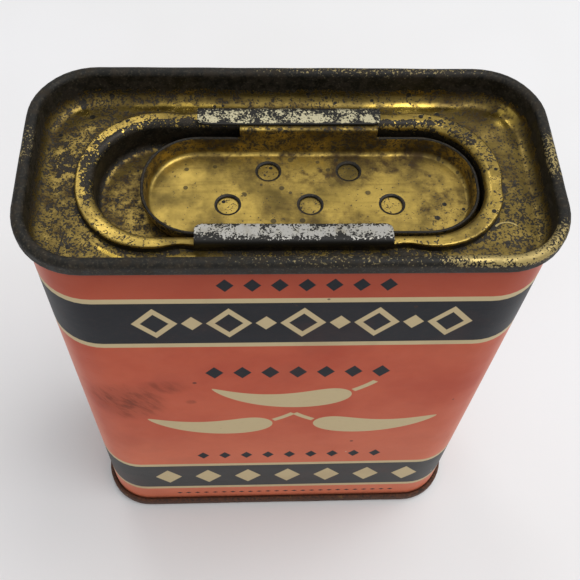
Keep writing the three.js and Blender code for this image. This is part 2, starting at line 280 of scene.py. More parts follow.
def volume(points, quads):
    """Sum of the signed pyramids from the origin to each half quad, in cubic millimetres."""
    a, b, c, d = (points[quads[:, side]] for side in range(4))
    return float((np.cross(a, b) * c + np.cross(a, c) * d).sum() / 6)


square = np.dstack([*np.meshgrid((0.0, 1.0), (0.0, 1.0)), np.zeros((2, 2))])
print(f"a square millimetre of sheet: {volume(*thickened(*quads_of(square))):.2f} mm3")

# %% Putting a piece into the scene
EDGE_SOFTNESS = 0.035  # how far a cut edge is rounded
EDGE_ANGLE = 50  # degrees: a sharper fold than this counts as an edge


def make_piece(name, points, quads, body, stands_for, slot):
    """Puts points in millimetres into a mesh object that rides on a body."""
    mesh = bpy.data.meshes.new(name)
    mesh.from_pydata(points * MM, [], quads)
    mesh.validate()
    mesh.shade_smooth()
    piece = bpy.data.objects.new(name, mesh)
    bpy.context.scene.collection.objects.link(piece)
    soften = piece.modifiers.new("cut edges", "BEVEL")
    soften.width = EDGE_SOFTNESS * MM
    soften.segments = 2
    soften.limit_method = "ANGLE"
    soften.angle_limit = np.radians(EDGE_ANGLE)
    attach(piece, body)
    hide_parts(stands_for)
    print(f"{name}: {len(quads)} faces, {volume(points, quads):.1f} mm3 of metal")
    return piece


# %% [markdown]
# ## The two ends and their double seams
#
# The rim of a tin is not a wire. The end's edge and the wrapper's edge are rolled together and
# pressed flat, and only the outermost layer of the roll is seen. So each end is one profile:
# from under the roll, up its outside, over the crest, down the standing wall, round a fillet
# and in over the flat panel. A hand-closed tin is never quite true, so the profile is let in
# here and there by a few hundredths of a millimetre, which breaks up the long reflections.

# %% Profile of an end
SEAM_CREST = 0.62  # height of the rounded crest
SEAM_ROLL = 0.42  # radius of the roll's lower edge
OUT_OF_TRUE = 0.07  # the most that a seam is pressed in
OUT_OF_LEVEL = 0.05  # the most that its crest is pressed down


def unevenness(x, y):
    """A slow wave between 0 and 1, made of three sines whose lengths don't share a multiple."""
    wave = np.sin(0.83 * x + 0.4) + np.sin(0.47 * y + 0.31 * x + 2.0) + np.sin(1.31 * y - 0.2 * x)
    return 0.5 + wave / 6


def end_profile(seam_reach, countersink):
    """Reach and height of an end, with the seam's crest at height 0, from outside in."""
    half = (seam_reach + CHUCK_INSET) / 2
    crest, roll = SEAM_CREST, SEAM_ROLL
    bottom = -SEAM_HEIGHT
    foot = -countersink + PANEL_FILLET
    wall = -CHUCK_INSET
    return np.concatenate([
        [(0.06, bottom + 0.12)],
        arc(seam_reach - roll - 0.03, bottom + roll, roll, roll, -90, 0, 6),
        line((seam_reach - 0.03, bottom + roll), (seam_reach, -crest), 4),
        arc(seam_reach - half, -crest, half, crest, 0, 180, 16),
        line((wall, -crest), (wall, foot), 8),
        arc(wall - PANEL_FILLET, foot, PANEL_FILLET, PANEL_FILLET, 0, -90, 10),
    ])


def end_shell(seam_reach, countersink):
    """The end's seam, wall and fillet, with its crest at height 0 and slightly out of true."""
    grid = carried(end_profile(seam_reach, countersink), WRAPPER)
    wave = unevenness(grid[..., 0], grid[..., 1])
    along = np.clip(1 + grid[..., 2] / SEAM_HEIGHT, 0, 1)
    inward = grid[..., :2] / np.linalg.norm(grid[..., :2], axis=-1, keepdims=True)
    grid[..., :2] -= (OUT_OF_TRUE * wave * along)[..., None] * inward
    grid[..., 2] -= OUT_OF_LEVEL * wave * along
    return grid


print("points in an end's profile:", len(end_profile(TOP_SEAM_REACH, TOP_COUNTERSINK)))

# %% The top end, open in the middle for the well
WELL_OPENING_IN = 0.9  # how far the panel runs in under the flange
PANEL_STEPS = 12
KNOCK_AT = (25.9, 9.8)
KNOCK_HEIGHT = 0.36
KNOCKED_FROM = 1.8  # the bump fades out on the wall, this far under the crest


def panel_wave(x, y):
    """How far the panel lies off its plane: a slow ripple of a few hundredths of a millimetre."""
    return 0.05 * np.sin(0.55 * x + 0.9 * y) + 0.04 * np.sin(1.15 * x - 0.6 * y + 1.0)


def knock(x, y):
    """A bump knocked up from below in the back right corner: a bell, exp(-d^2)."""
    off_x, off_y = (x - KNOCK_AT[0]) / 1.2, (y - KNOCK_AT[1]) / 1.1
    return KNOCK_HEIGHT * np.exp(-(off_x**2) - off_y**2)


shell = end_shell(TOP_SEAM_REACH, TOP_COUNTERSINK)
deep = np.clip(-KNOCKED_FROM - shell[..., 2], 0, 1)
shell[..., 2] += deep * knock(shell[..., 0], shell[..., 1])
opening = {
    "length": WELL["length"] + 2 * (FLANGE_BAND - WELL_OPENING_IN),
    "width": WELL["width"] + 2 * (FLANGE_BAND - WELL_OPENING_IN),
    "radius": WELL["radius"] + FLANGE_BAND - WELL_OPENING_IN,
}
inner_ring = carried([(0, -TOP_COUNTERSINK)], opening)[0]
panel = ruled(shell[-1], inner_ring, PANEL_STEPS)
middle = np.sin(np.linspace(0, np.pi, PANEL_STEPS + 1))[:, None]
panel[..., 2] += middle * panel_wave(panel[..., 0], panel[..., 1])
panel[1:, :, 2] += knock(panel[1:, :, 0], panel[1:, :, 1])
points, quads = welded(quads_of(shell, True), quads_of(panel, True))
points[:, 2] += TIN_HEIGHT
top_end = make_piece(
    "top_end_plate", *thickened(points, quads), "tin", "top_end", "gold_lacquer"
)

# %% [markdown]
# ## A floor with holes
#
# Five holes don't fit into a plain grid. The floor is therefore cut like graph paper into ten
# cells, two rows of five, and every second cell gets a hole: its columns are rays from the hole
# to the cell's edge, and its rows shrink from the edge to the hole and then roll down into it.
# A last ring of faces joins the block of cells to the rounded foot of the wall. All cells have
# the same number of steps along a side, so everything welds together. The well and the dish
# share these functions, and so their holes always agree.

# %% Cells, holes and the whole floor
CELL_ROW = 4.07  # a cell from front to back


def rectangle(x_low, x_high, y_low, y_high, across, up):
    """Points round a rectangle, anticlockwise from its lower left corner."""
    corners = np.array([(x_low, y_low), (x_high, y_low), (x_high, y_high), (x_low, y_high)])
    steps = (across, up, across, up)
    sides = [
        corners[side] + np.arange(count)[:, None] / count * (corners[(side + 1) % 4] - corners[side])
        for side, count in enumerate(steps)
    ]
    return np.concatenate(sides)


def holed_cell(cell, hole, lip_width, lip_depth):
    """Rows go from the cell's edge straight in to the lip's circle, and then down a quarter of an
    ellipse as wide as the lip and as deep, to the hole's own radius."""
    edge = rectangle(*cell, CELL_STEPS, CELL_STEPS) - hole
    distance = np.linalg.norm(edge, axis=1)
    ray = edge / distance[:, None]
    outer = HOLE_RADIUS + lip_width
    share = np.linspace(0, 1, 6)[:, None]
    flat = distance + share * (outer - distance)
    bend = arc(outer, -lip_depth, -lip_width, lip_depth, 90, 0, 6)[1:]
    radii = np.concatenate([flat, np.repeat(bend[:, :1], len(ray), axis=1)])
    drop = np.concatenate([np.zeros(len(flat)), bend[:, 1]])
    plan = hole + radii[..., None] * ray
    return np.dstack([plan, np.broadcast_to(drop[:, None], radii.shape)])


def plain_cell(cell):
    """An even grid over the cell."""
    x = np.linspace(cell[0], cell[1], CELL_STEPS + 1)
    y = np.linspace(cell[2], cell[3], CELL_STEPS + 1)
    plan = np.dstack(np.meshgrid(x, y))
    return np.dstack([plan, np.zeros(plan.shape[:2])])


def floor_patches(foot, height, holes_at, lip_width, lip_depth):
    """The patches of a floor that fills the ring of points at its foot."""
    column_edges = holes_at + HOLE_PITCH / 2 * (np.arange(6) - 2.5)
    row_edges = HOLE_ROW_SHIFT + CELL_ROW * np.array([-1, 0, 1])
    patches = []
    for row, side in enumerate((-1, 1)):
        for column in range(5):
            cell = (*column_edges[column:column + 2], *row_edges[row:row + 2])
            hole = np.array([
                (cell[0] + cell[1]) / 2,
                HOLE_ROW_SHIFT + side * HOLE_ROW_SPACING / 2,
            ])
            if (row + column) % 2 == 0:
                patches.append(quads_of(holed_cell(cell, hole, lip_width, lip_depth), True))
            else:
                patches.append(quads_of(plain_cell(cell)))
    edge = rectangle(*column_edges[[0, -1]], *row_edges[[0, -1]], LONG_STEPS, 2 * CELL_STEPS)
    start = LONG_STEPS + ARC_STEPS + SHORT_STEPS
    ring = np.column_stack([np.roll(edge, -start, axis=0), np.zeros(len(edge))])
    level = foot * (1, 1, 0)
    patches.append(quads_of(ruled(level, ring, 10), True))
    return [(points + (0, 0, height), quads) for points, quads in patches]


print(f"ten cells: {5 * HOLE_PITCH / 2:.1f} by {2 * CELL_ROW:.2f} mm")

# %% [markdown]
# ## The well
#
# The well is pressed from its own sheet: a raised band round its mouth, a standing wall and a
# floor with five holes. The long ears are bent up from the band's outside, so the band is a
# little drawn in beside each of their ends. Along the front it has been squeezed narrower, and
# one knock has kinked its right-hand end. None of this could be pressed by a profile, which is
# the same all the way round, so the finished grid is moved afterwards, where and as far as a
# smooth formula says.

# %% The well's band, wall and floor
WELL_FILLET = 0.9
BAND_OUTER_BEND = 0.28
BAND_INNER_BEND = 0.85
WELL_LEAN = 0.35  # how far the wall stands in from the well's outline
WELL_LIP = (0.15, 0.1)  # width and depth of the lip round a hole
EAR_HALF_LENGTH = 10.6
EAR_END_PULL = 0.33  # how far the band is drawn in beside each ear's end
FRONT_OUTSIDE_IN = 0.5  # the front of the band is squeezed narrower from both sides
FRONT_INSIDE_OUT = 0.12
KINK_AT = -1.2  # where the knock has kinked the right-hand end, and how far
KINK_DEPTH = 0.45


def well_profile():
    """From the foot of the band's skirt, over the band and down the wall to the floor's fillet."""
    outer, inner = BAND_OUTER_BEND, BAND_INNER_BEND
    mouth = inner - WELL_LEAN
    wall_foot = WELL_FLOOR + WELL_FILLET
    return np.concatenate([
        [(FLANGE_BAND, PANEL_TOP + 0.02)],
        line((FLANGE_BAND, PANEL_TOP + 0.02), (FLANGE_BAND, FLANGE_TOP - outer), 3),
        arc(FLANGE_BAND - outer, FLANGE_TOP - outer, outer, outer, 0, 90, 6),
        line((FLANGE_BAND - outer, FLANGE_TOP), (mouth, FLANGE_TOP), 6),
        arc(mouth, FLANGE_TOP - inner, -inner, inner, 90, 0, 8),
        line((-WELL_LEAN, FLANGE_TOP - inner), (-WELL_LEAN, wall_foot), 6),
        arc(-WELL_LEAN - WELL_FILLET, wall_foot, WELL_FILLET, WELL_FILLET, 0, -90, 8),
    ])


def worn_band(grid):
    """Draws the band in beside the ears, squeezes its front and kinks it where it was knocked.

    The kink and the places beside the ears are bells, exp(-d^2), of the distance from their
    middle, scaled by how far out on the band a point is. The squeeze moves the outer edge in and
    the inner edge out, and fades along the front's last stretches.
    """
    x, y, z = np.moveaxis(grid, -1, 0)
    share = np.clip(well_profile()[:, 0] / FLANGE_BAND, 0, 1)[:, None] ** 2
    beside_ear = np.exp(-(((np.abs(x) - EAR_HALF_LENGTH - 1.6) / 1.5) ** 2))
    kink = np.where(x > 0, np.exp(-(((y - KINK_AT) / 0.8) ** 2)), 0)
    kink = kink * np.clip((np.abs(x) - 18) / 4, 0, 1)
    front = np.clip((20 - np.abs(x)) / 8, 0, 1) * (y < -5)
    pulled = grid.copy()
    pulled[..., 0] = x - KINK_DEPTH * kink * share
    pulled[..., 1] = y - np.sign(y) * EAR_END_PULL * beside_ear * share * (np.abs(y) > 5)
    pulled[..., 1] += front * (FRONT_OUTSIDE_IN * share - FRONT_INSIDE_OUT * (1 - share))
    pulled[..., 2] = z - 0.14 * kink * np.clip(z - PANEL_TOP, 0, 1) - 0.04 * share * beside_ear
    return pulled


well_grid = worn_band(carried(well_profile(), WELL))
well_floor = floor_patches(well_grid[-1], WELL_FLOOR, DISH_MIDDLE - TRAVEL, *WELL_LIP)
points, quads = welded(quads_of(well_grid, True), *well_floor)
well_pan = make_piece(
    "sifter_well_pan", *thickened(points, quads), "tin", "sifter_well", "bright_lacquer"
)

# %% [markdown]
# ## The ears
#
# Each ear is a strip that comes up from the band's outside and is folded in over the dish's tab.
# It is a grid of its own: one direction along the ear, the other up its side, round the fold and
# in to the free edge. Near the free edge the strip gets shorter by the height of a quarter
# circle, which rounds its two corners. The back ear is the same grid turned by half a turn
# about the Z axis, which keeps its faces pointing outwards as a mirror would not.

# %% The two ears
EAR_FOLD = 0.62
EAR_CORNER = 0.8
EAR_STEPS = 60
EAR_FOOT = FLANGE_TOP - 0.15
EAR_BOW = 0.09  # how far the ear's top is bowed down along its length
EAR_SAG = 0.05  # how far its free edge hangs lower than its fold
FRONT_EAR_IN = 0.5  # the front ear is pressed in with the band under it
FRONT_EAR_SHORTER = 0.25  # and reaches less far over the dish


def ear_grid(pressed_in, depth):
    """An ear, as it stands at the front. Column j is at x = u * half the strip's length, with
    u from -1 to 1; the half length shrinks by R - sqrt(R^2 - (R - d)^2) where the distance d to
    the free edge is under the corner's radius R. Pressing has moved it in as a whole, bowed its
    top along a sine and let its free edge sag by a square."""
    outside = WELL["width"] / 2 + FLANGE_BAND + EAR_PROUD - pressed_in
    free_edge = outside - depth
    profile = np.concatenate([
        [(outside, EAR_FOOT)],
        arc(outside - EAR_FOLD, EAR_TOP - EAR_FOLD, EAR_FOLD, EAR_FOLD, 0, 90, 8),
        line((outside - EAR_FOLD, EAR_TOP), (free_edge, EAR_TOP), 10),
        [(free_edge, EAR_TOP)],
    ])
    to_edge = np.clip(profile[:, 0] - free_edge, 0, EAR_CORNER)
    shortening = EAR_CORNER - np.sqrt(EAR_CORNER**2 - (EAR_CORNER - to_edge) ** 2)
    u = np.linspace(-1, 1, EAR_STEPS + 1)
    x = (EAR_HALF_LENGTH - shortening)[:, None] * u
    y = np.broadcast_to(-profile[:, :1], x.shape)
    over = np.clip((outside - profile[:, :1]) / depth, 0, 1)
    wave = 0.5 + 0.5 * np.sin(2.3 * u + 0.6)
    z = profile[:, 1:] - EAR_BOW * over * wave - EAR_SAG * over**2
    return np.dstack([x, y, z])


front_ear_grid = ear_grid(FRONT_EAR_IN, EAR_DEPTH - FRONT_EAR_SHORTER)
front_points, front_quads = welded(quads_of(front_ear_grid))
back_points, back_quads = welded(quads_of(ear_grid(0.0, EAR_DEPTH)))
back_points = back_points * (-1, -1, 1)
ear_front = make_piece(
    "ear_front", *thickened(front_points, front_quads), "tin", "sifter_well", "bright_lacquer"
)
ear_back = make_piece(
    "ear_back", *thickened(back_points, back_quads), "tin", "sifter_well", "bright_lacquer"
)

# %% [markdown]
# ## The sliding dish
#
# The dish is one pressed sheet too. Round most of its edge the wall is curled over into a soft
# rim. In the middle of each long side the wall isn't curled: it stands up past the rim and is
# folded out flat as a tab, which runs between the band and the ear and keeps the dish down. So
# the lower wall is one closed ring, and above it the columns are shared out between the rim and
# the two tabs.

# %% Wall, rim and tabs of the dish
RIM_WIDTH = 0.38
RIM_CURL = 0.2
RIM_DROP = 0.9
WALL_LEAN = 0.2
DISH_FILLET = 0.6
DISH_LIP = (0.38, 0.2)  # width and depth of the lip round a hole
TAB_HALF_LENGTH = 8.1
TAB_LIFT = 0.13  # play between the band and the tab that runs on it
TAB_FOLD = 0.3
WALL_TOP = DISH_RIM - RIM_CURL

wall_foot = DISH_FLOOR + DISH_FILLET
foot_reach = -RIM_WIDTH - WALL_LEAN
lower_wall = np.concatenate([
    [(-RIM_WIDTH, WALL_TOP)],
    line((-RIM_WIDTH, WALL_TOP), (foot_reach, wall_foot), 6),
    arc(foot_reach - DISH_FILLET, wall_foot, DISH_FILLET, DISH_FILLET, 0, -90, 8),
])
rim = np.concatenate([
    [(0, DISH_RIM - RIM_DROP)],
    line((0, DISH_RIM - RIM_DROP), (0, WALL_TOP), 3),
    arc(-RIM_WIDTH / 2, WALL_TOP, RIM_WIDTH / 2, RIM_CURL, 0, 180, 12),
])
tab_top = FLANGE_TOP + TAB_LIFT + SHEET
tab_edge = WELL["width"] / 2 + FLANGE_BAND - TAB_EDGE_IN - DISH["width"] / 2
tab_fold_reach = -RIM_WIDTH + TAB_FOLD
tab = np.concatenate([
    [(tab_edge, tab_top)],
    line((tab_edge, tab_top), (tab_fold_reach, tab_top), 6),
    arc(tab_fold_reach, tab_top - TAB_FOLD, -TAB_FOLD, TAB_FOLD, 90, 0, 6),
    line((-RIM_WIDTH, tab_top - TAB_FOLD), (-RIM_WIDTH, WALL_TOP), 4),
    [(-RIM_WIDTH, WALL_TOP)],
])
print(f"tab at {tab_top:.2f} mm, under an ear at {EAR_TOP - SHEET:.2f} mm")

# %% Sharing the columns out and joining the dish
dish_plan = outline(**DISH)[0]
on_tab = (np.abs(dish_plan[:, 0]) < TAB_HALF_LENGTH) & (np.abs(dish_plan[:, 1]) > DISH["width"] / 3)
runs = np.flatnonzero(np.diff(on_tab)) + 1
back_start, back_end, front_start, front_end = runs


def columns(grid, start, end):
    """The columns of a grid from one number up to and with another, going round past the last."""
    count = grid.shape[1]
    return grid[:, np.arange(start, end + 1 if end > start else end + 1 + count) % count]


rim_grid = carried(rim, DISH)
tab_grid = carried(tab, DISH)
wall_grid = carried(lower_wall, DISH)
dish_floor = floor_patches(wall_grid[-1], DISH_FLOOR, 0, *DISH_LIP)
points, quads = welded(
    quads_of(wall_grid, True),
    quads_of(columns(tab_grid, back_start, back_end - 1)),
    quads_of(columns(tab_grid, front_start, front_end - 1)),
    quads_of(columns(rim_grid, back_end - 1, front_start)),
    quads_of(columns(rim_grid, front_end - 1, back_start)),
    *dish_floor,
)
points[:, 0] += DISH_MIDDLE
dish = make_piece(
    "sifter_dish",
    *thickened(points, quads, lowest=DISH_FLOOR - SHEET),
    "slide",
    "sifter_slide",
    "bright_lacquer",
)

# %% [markdown]
# ## The printed wrapper
#
# The wrapper is one sheet bent round and hooked together down the left side. The hooks are pressed
# inwards, so outside only a narrow groove shows, with solder run into it. The outline is the same as
# before, with the left side's points listed one by one so that the groove's fold has a crisp edge.
# Towards the two seams the groove runs out. Flat tinplate always bows a little: the large faces bulge by
# a tenth of a millimetre, which bends what they mirror.

# %% The wrapper
GROOVE_FOLD = 1.5  # the folded edge, from the middle of the side
GROOVE_FAR = 1.9  # the groove's other side at its bottom
GROOVE_END = 2.6  # and at its top
GROOVE_DEPTH = 0.78
GROOVE_STOP = 5.4  # plain length at each end
GROOVE_RUN_OUT = 0.9  # length over which the groove gets shallow
FACE_BOW = 0.12
TUCK = 0.7  # how far the wrapper's edges stay below the seams' crests

plan, away = outline(**WRAPPER)
side_start = ARC_STEPS + LONG_STEPS + ARC_STEPS
# Depth, and distance behind the middle of the side, from back to front.
groove = np.array([
    (0, GROOVE_END + 0.25), (0.02, GROOVE_END), (GROOVE_DEPTH, GROOVE_FAR),
    (GROOVE_DEPTH, GROOVE_FOLD + 0.02), (0.14, GROOVE_FOLD), (0.04, GROOVE_FOLD - 0.05),
    (0, GROOVE_FOLD - 0.14), (0, 0), (0, -2), (0, -4),
])
side = np.column_stack([np.full(len(groove), -WRAPPER["length"] / 2), groove[:, 1]])
depth = np.concatenate([
    np.zeros(side_start + 1), groove[:, 0], np.zeros(len(plan) - side_start - SHORT_STEPS),
])
plan = np.concatenate([plan[:side_start + 1], side, plan[side_start + SHORT_STEPS:]])
away = np.concatenate([
    away[:side_start + 1],
    np.repeat([(-1.0, 0.0)], len(groove), axis=0),
    away[side_start + SHORT_STEPS:],
])
low_end = GROOVE_STOP - GROOVE_RUN_OUT
heights = np.concatenate([
    [TUCK, SEAM_HEIGHT + 1, low_end, low_end + 0.3, low_end + 0.6, GROOVE_STOP],
    np.linspace(GROOVE_STOP, TIN_HEIGHT - GROOVE_STOP, 30)[1:-1],
])
heights = np.concatenate([heights, TIN_HEIGHT - heights[:6][::-1]])
from_end = np.minimum(heights, TIN_HEIGHT - heights)
open_share = np.clip((from_end - low_end) / GROOVE_RUN_OUT, 0, 1)
up_face = np.sin(np.pi * np.clip(heights / TIN_HEIGHT, 0, 1))
along_face = np.cos(np.pi * plan[:, 0] / WRAPPER["length"]).clip(0) ** 0.5
bow = FACE_BOW * up_face[:, None] * along_face * np.abs(away[:, 1])
push = bow - open_share[:, None] * depth
wrapper_grid = np.dstack([
    plan[None] + push[..., None] * away[None],
    np.broadcast_to(heights[:, None], push.shape),
])
points, quads = welded(quads_of(wrapper_grid, True))
wrapper_outside_faces = len(quads)
wrapper = make_piece(
    "printed_wrapper", *thickened(points, quads), "tin", "body", "printed_tinplate"
)

# %% [markdown]
# ## The bottom end
#
# It is the top end's shape with a flatter countersink and a whole panel, turned over by half a
# turn about the X axis, which keeps its faces pointing out. The panel is filled by the same
# ring-to-rectangle step as the floors, with a plain grid in the middle. The panel's ripple is
# twice as long and as high as the top's, and dies away towards the edge.

# %% The bottom end
PANEL_BLOCK = (-18.0, 18.0, -4.0, 4.0)  # the plain grid in the middle
bottom = end_shell(BOTTOM_SEAM_REACH, BOTTOM_COUNTERSINK)
edge = rectangle(*PANEL_BLOCK, LONG_STEPS, 2 * CELL_STEPS)
ring = np.roll(edge, -(LONG_STEPS + ARC_STEPS + SHORT_STEPS), axis=0)
ring = np.column_stack([ring, np.full(len(ring), -BOTTOM_COUNTERSINK)])
panel = ruled(bottom[-1], ring, 10)
block_x = np.linspace(*PANEL_BLOCK[:2], LONG_STEPS + 1)
block_y = np.linspace(*PANEL_BLOCK[2:], 2 * CELL_STEPS + 1)
block_plan = np.dstack(np.meshgrid(block_x, block_y))
block_grid = np.dstack([block_plan, np.full(block_plan.shape[:2], -BOTTOM_COUNTERSINK)])
points, quads = welded(quads_of(bottom, True), quads_of(panel, True), quads_of(block_grid))
middle = np.exp(-((points[:, 0] / 24) ** 4) - ((points[:, 1] / 9) ** 4))
on_panel = points[:, 2] < -BOTTOM_COUNTERSINK + 0.01
wave = 2 * middle * panel_wave(points[:, 0] / 2, points[:, 1] / 2)
points[:, 2] += np.where(on_panel, wave, 0)
bottom_end = make_piece(
    "bottom_end_plate",
    *thickened(points * (1, -1, -1), quads),
    "tin",
    "bottom_end",
    "base_lacquer",
)

# %% [markdown]
# ## A small language for finishes
#
# A finish is a net of nodes. Written out one node at a time it hides the idea behind it, so two
# small helpers come first. A Field is a value that changes over the surface, and can be added,
# multiplied and compared like a number. A Finish makes the nodes. All lengths in it are
# millimetres, because it scales the object coordinates up before anything reads them.

# %% Fields


class Field:
    """A node's output, with arithmetic."""

    def __init__(self, finish, socket):
        self.finish = finish
        self.socket = socket

    def __add__(self, other):
        return self.finish.math("ADD", self, other)

    def __sub__(self, other):
        return self.finish.math("SUBTRACT", self, other)

    def __rsub__(self, other):
        return self.finish.math("SUBTRACT", other, self)

    def __mul__(self, other):
        return self.finish.math("MULTIPLY", self, other)

    def __truediv__(self, other):
        return self.finish.math("DIVIDE", self, other)

    def __pow__(self, other):
        return self.finish.math("POWER", self, other)

    def __abs__(self):
        return self.finish.math("ABSOLUTE", self)

    __radd__ = __add__
    __rmul__ = __mul__


def paint(red, green, blue):
    """A colour given in the 0 to 255 steps of a screen, as the linear light that shaders use."""
    step = np.array([red, green, blue]) / 255
    linear = np.where(step > 0.04045, ((step + 0.055) / 1.055) ** 2.4, step / 12.92)
    return (*linear.tolist(), 1.0)


print("a middle grey as linear light:", round(paint(128, 128, 128)[0], 3))

# %% Finishes


class Finish:
    """A material that is being made. Its x, y and z are the place on the piece."""

    def __init__(self, name):
        self.material = bpy.data.materials.new(name)
        self.material.use_nodes = True
        self.tree = self.material.node_tree
        self.tree.nodes.clear()
        place = self.add("ShaderNodeTexCoord").outputs["Object"]
        scaled = self.add("ShaderNodeVectorMath", {"operation": "SCALE"}, {0: place, "Scale": 1 / MM})
        self.place = scaled.outputs[0]
        split = self.add("ShaderNodeSeparateXYZ", {}, {0: self.place})
        self.x, self.y, self.z = (Field(self, output) for output in split.outputs)

    def add(self, kind, settings=None, inputs=None):
        """A new node with its settings made and its inputs linked or set."""
        node = self.tree.nodes.new(kind)
        for key, value in (settings or {}).items():
            setattr(node, key, value)
        for key, value in (inputs or {}).items():
            self.plug(node.inputs[key], value)
        return node

    def plug(self, socket, value):
        """Links a field or another node's output to the socket, or sets it to a plain value."""
        value = getattr(value, "socket", value)
        if isinstance(value, bpy.types.NodeSocket):
            self.tree.links.new(value, socket)
        else:
            socket.default_value = value

    def math(self, operation, *values):
        """One of the Math node's operations on fields or numbers."""
        node = self.add("ShaderNodeMath", {"operation": operation}, dict(enumerate(values)))
        return Field(self, node.outputs[0])

    def smooth(self, value, low, high):
        """0 below low, 1 above high, and an S-shaped rise between; falls if high is under low."""
        if high < low:
            return 1 - self.smooth(value, high, low)
        kind = {"interpolation_type": "SMOOTHSTEP"}
        ends = {"Value": value, "From Min": low, "From Max": high}
        return Field(self, self.add("ShaderNodeMapRange", kind, ends).outputs[0])

    def either(self, first, *others):
        """The largest of several fields, which joins masks."""
        for other in others:
            first = self.math("MAXIMUM", first, other)
        return first

    def moved(self, seed, stretch=(1, 1, 1), lean=0.0):
        """The place, pulled out along each axis, and shifted so that each seed gives a new pattern.
        A lean first turns it about the Y axis by so many degrees."""
        place = self.place
        if lean:
            turn = {"Vector": place, "Angle": np.radians(lean)}
            kind = {"rotation_type": "Y_AXIS"}
            place = self.add("ShaderNodeVectorRotate", kind, turn).outputs[0]
        shift = (13.7 * seed, -9.1 * seed, 5.3 * seed)
        inputs = {0: place, 1: [1 / s for s in stretch], 2: shift}
        return self.add("ShaderNodeVectorMath", {"operation": "MULTIPLY_ADD"}, inputs).outputs[0]

    def noise(self, size, seed, detail=3.0, rough=0.55, stretch=(1, 1, 1), lean=0.0):
        """Soft blotches about as big as size."""
        inputs = {"Vector": self.moved(seed, stretch, lean), "Scale": 1 / size}
        inputs |= {"Detail": detail, "Roughness": rough}
        return Field(self, self.add("ShaderNodeTexNoise", {}, inputs).outputs[0])

    def dots(self, spacing, radius, seed):
        """Separate specks: in each cell a round spot, whose size is the radius times a chance."""
        inputs = {"Vector": self.moved(seed), "Scale": 1 / spacing}
        node = self.add("ShaderNodeTexVoronoi", {}, inputs)
        chance = self.add("ShaderNodeSeparateColor", {}, {0: node.outputs["Color"]})
        size = Field(self, chance.outputs[0]) ** 3 * (radius / spacing)
        return self.smooth(size - Field(self, node.outputs["Distance"]), 0, 0.15 * radius / spacing)

    def spot(self, x, y, wide, high, strength=1.0, up=None):
        """The strength in the middle of an ellipse and 0 outside it, falling smoothly. It lies on
        the X and Y axes, or on the X axis and another field that is given."""
        off_x = (self.x - x) / wide
        off_y = ((self.y if up is None else up) - y) / high
        return self.smooth(off_x * off_x + off_y * off_y, 1, 0) * strength

    def spots(self, places):
        """The sum of several spots."""
        return sum(self.spot(*place) for place in places)

    def beyond(self, length, width, radius):
        """How far a place lies outside a rounded rectangle, by the distance to its inner block."""
        off_x = self.math("MAXIMUM", abs(self.x) - (length / 2 - radius), 0.0)
        off_y = self.math("MAXIMUM", abs(self.y) - (width / 2 - radius), 0.0)
        return self.math("SQRT", off_x * off_x + off_y * off_y) - radius

    def layers(self, colour, *layers):
        """A first colour with others laid over it in turn, each given by its share and colour."""
        for share, over in layers:
            inputs = {0: share, 6: colour, 7: over}
            colour = self.add("ShaderNodeMix", {"data_type": "RGBA"}, inputs).outputs[2]
        return colour

    def relief(self, *bumps):
        """Tilts the surface as if it stood up by each height times its depth in millimetres."""
        inputs = {}
        for height, depth in bumps:
            inputs |= {"Height": height, "Distance": depth * MM, "Strength": 1.0}
            inputs["Normal"] = self.add("ShaderNodeBump", {}, inputs).outputs[0]
        return inputs["Normal"]

    def close(self, colour, metal, roughness, normal, **settings):
        """Ends the net in one shader and returns the material."""
        inputs = {"Base Color": colour, "Metallic": metal, "Roughness": roughness, "Normal": normal}
        inputs |= {key.replace("_", " "): value for key, value in settings.items()}
        shader = self.add("ShaderNodeBsdfPrincipled", {}, inputs)
        end = self.add("ShaderNodeOutputMaterial", {}, {"Surface": shader.outputs[0]})
        print(f"{self.material.name}: {len(self.tree.nodes)} nodes, ending in {end.name}")
        return self.material


print(f"finishes read object coordinates times {1 / MM:.0f}, in millimetres")

# %% [markdown]
# ## The printed finish
#
# The wrapper is lithographed: coral ink, two charcoal bands with cream lines, and cream and navy
# ornaments, all under a thin varnish. Because the bands run level round the tin, each is a test
# on the height alone. The ornaments are plain geometry: lozenges, and peppers that are arcs with
# a swelling width. A test becomes ink by a narrow smooth step, so the edges stay sharp at any
# distance, which an image could not give. Use has dulled the varnish, left smudges beside the
# ornament, and chipped tiny specks.

# %% Ink shapes
PRINT_MIDDLE = 1.3  # the ornaments sit slightly right of the middle
INK_EDGE = 0.12
STEM_START, STEM_END = 1.02, 1.22  # in shares of a pepper's length
STEM_WIDTH = 0.84


def level_band(finish, low, high):
    """Ink where the distance from the band's middle height is under half its width."""
    off = abs(finish.z - (low + high) / 2)
    return finish.smooth((high - low) / 2 - off, -INK_EDGE / 2, INK_EDGE / 2)


def row_of(finish, height, pitch, half_count, shift):
    """Local coordinates in a row of repeated places, and a mask that ends the row."""
    x = finish.x - (PRINT_MIDDLE - pitch * shift)
    cell = finish.math("FRACT", x / pitch + 50.5)
    inside = finish.smooth((half_count + 0.5) * pitch - abs(x - pitch * shift), 0, 0.01)
    return (cell - 0.5) * pitch, finish.z - height, inside


def lozenges(finish, height, pitch, half_count, wide, high, shift=0.0, hollow=0.0):
    """|x| / wide + |z| / high is under 1 in a lozenge; a hollow one also has it over a share."""
    x, z, inside = row_of(finish, height, pitch, half_count, shift)
    distance = abs(x) / wide + abs(z) / high
    ink = finish.smooth(1 - distance, -INK_EDGE / wide / 2, INK_EDGE / wide / 2)
    if hollow:
        ink = ink * finish.smooth(distance - hollow, -INK_EDGE / wide / 2, INK_EDGE / wide / 2)
    return ink * inside


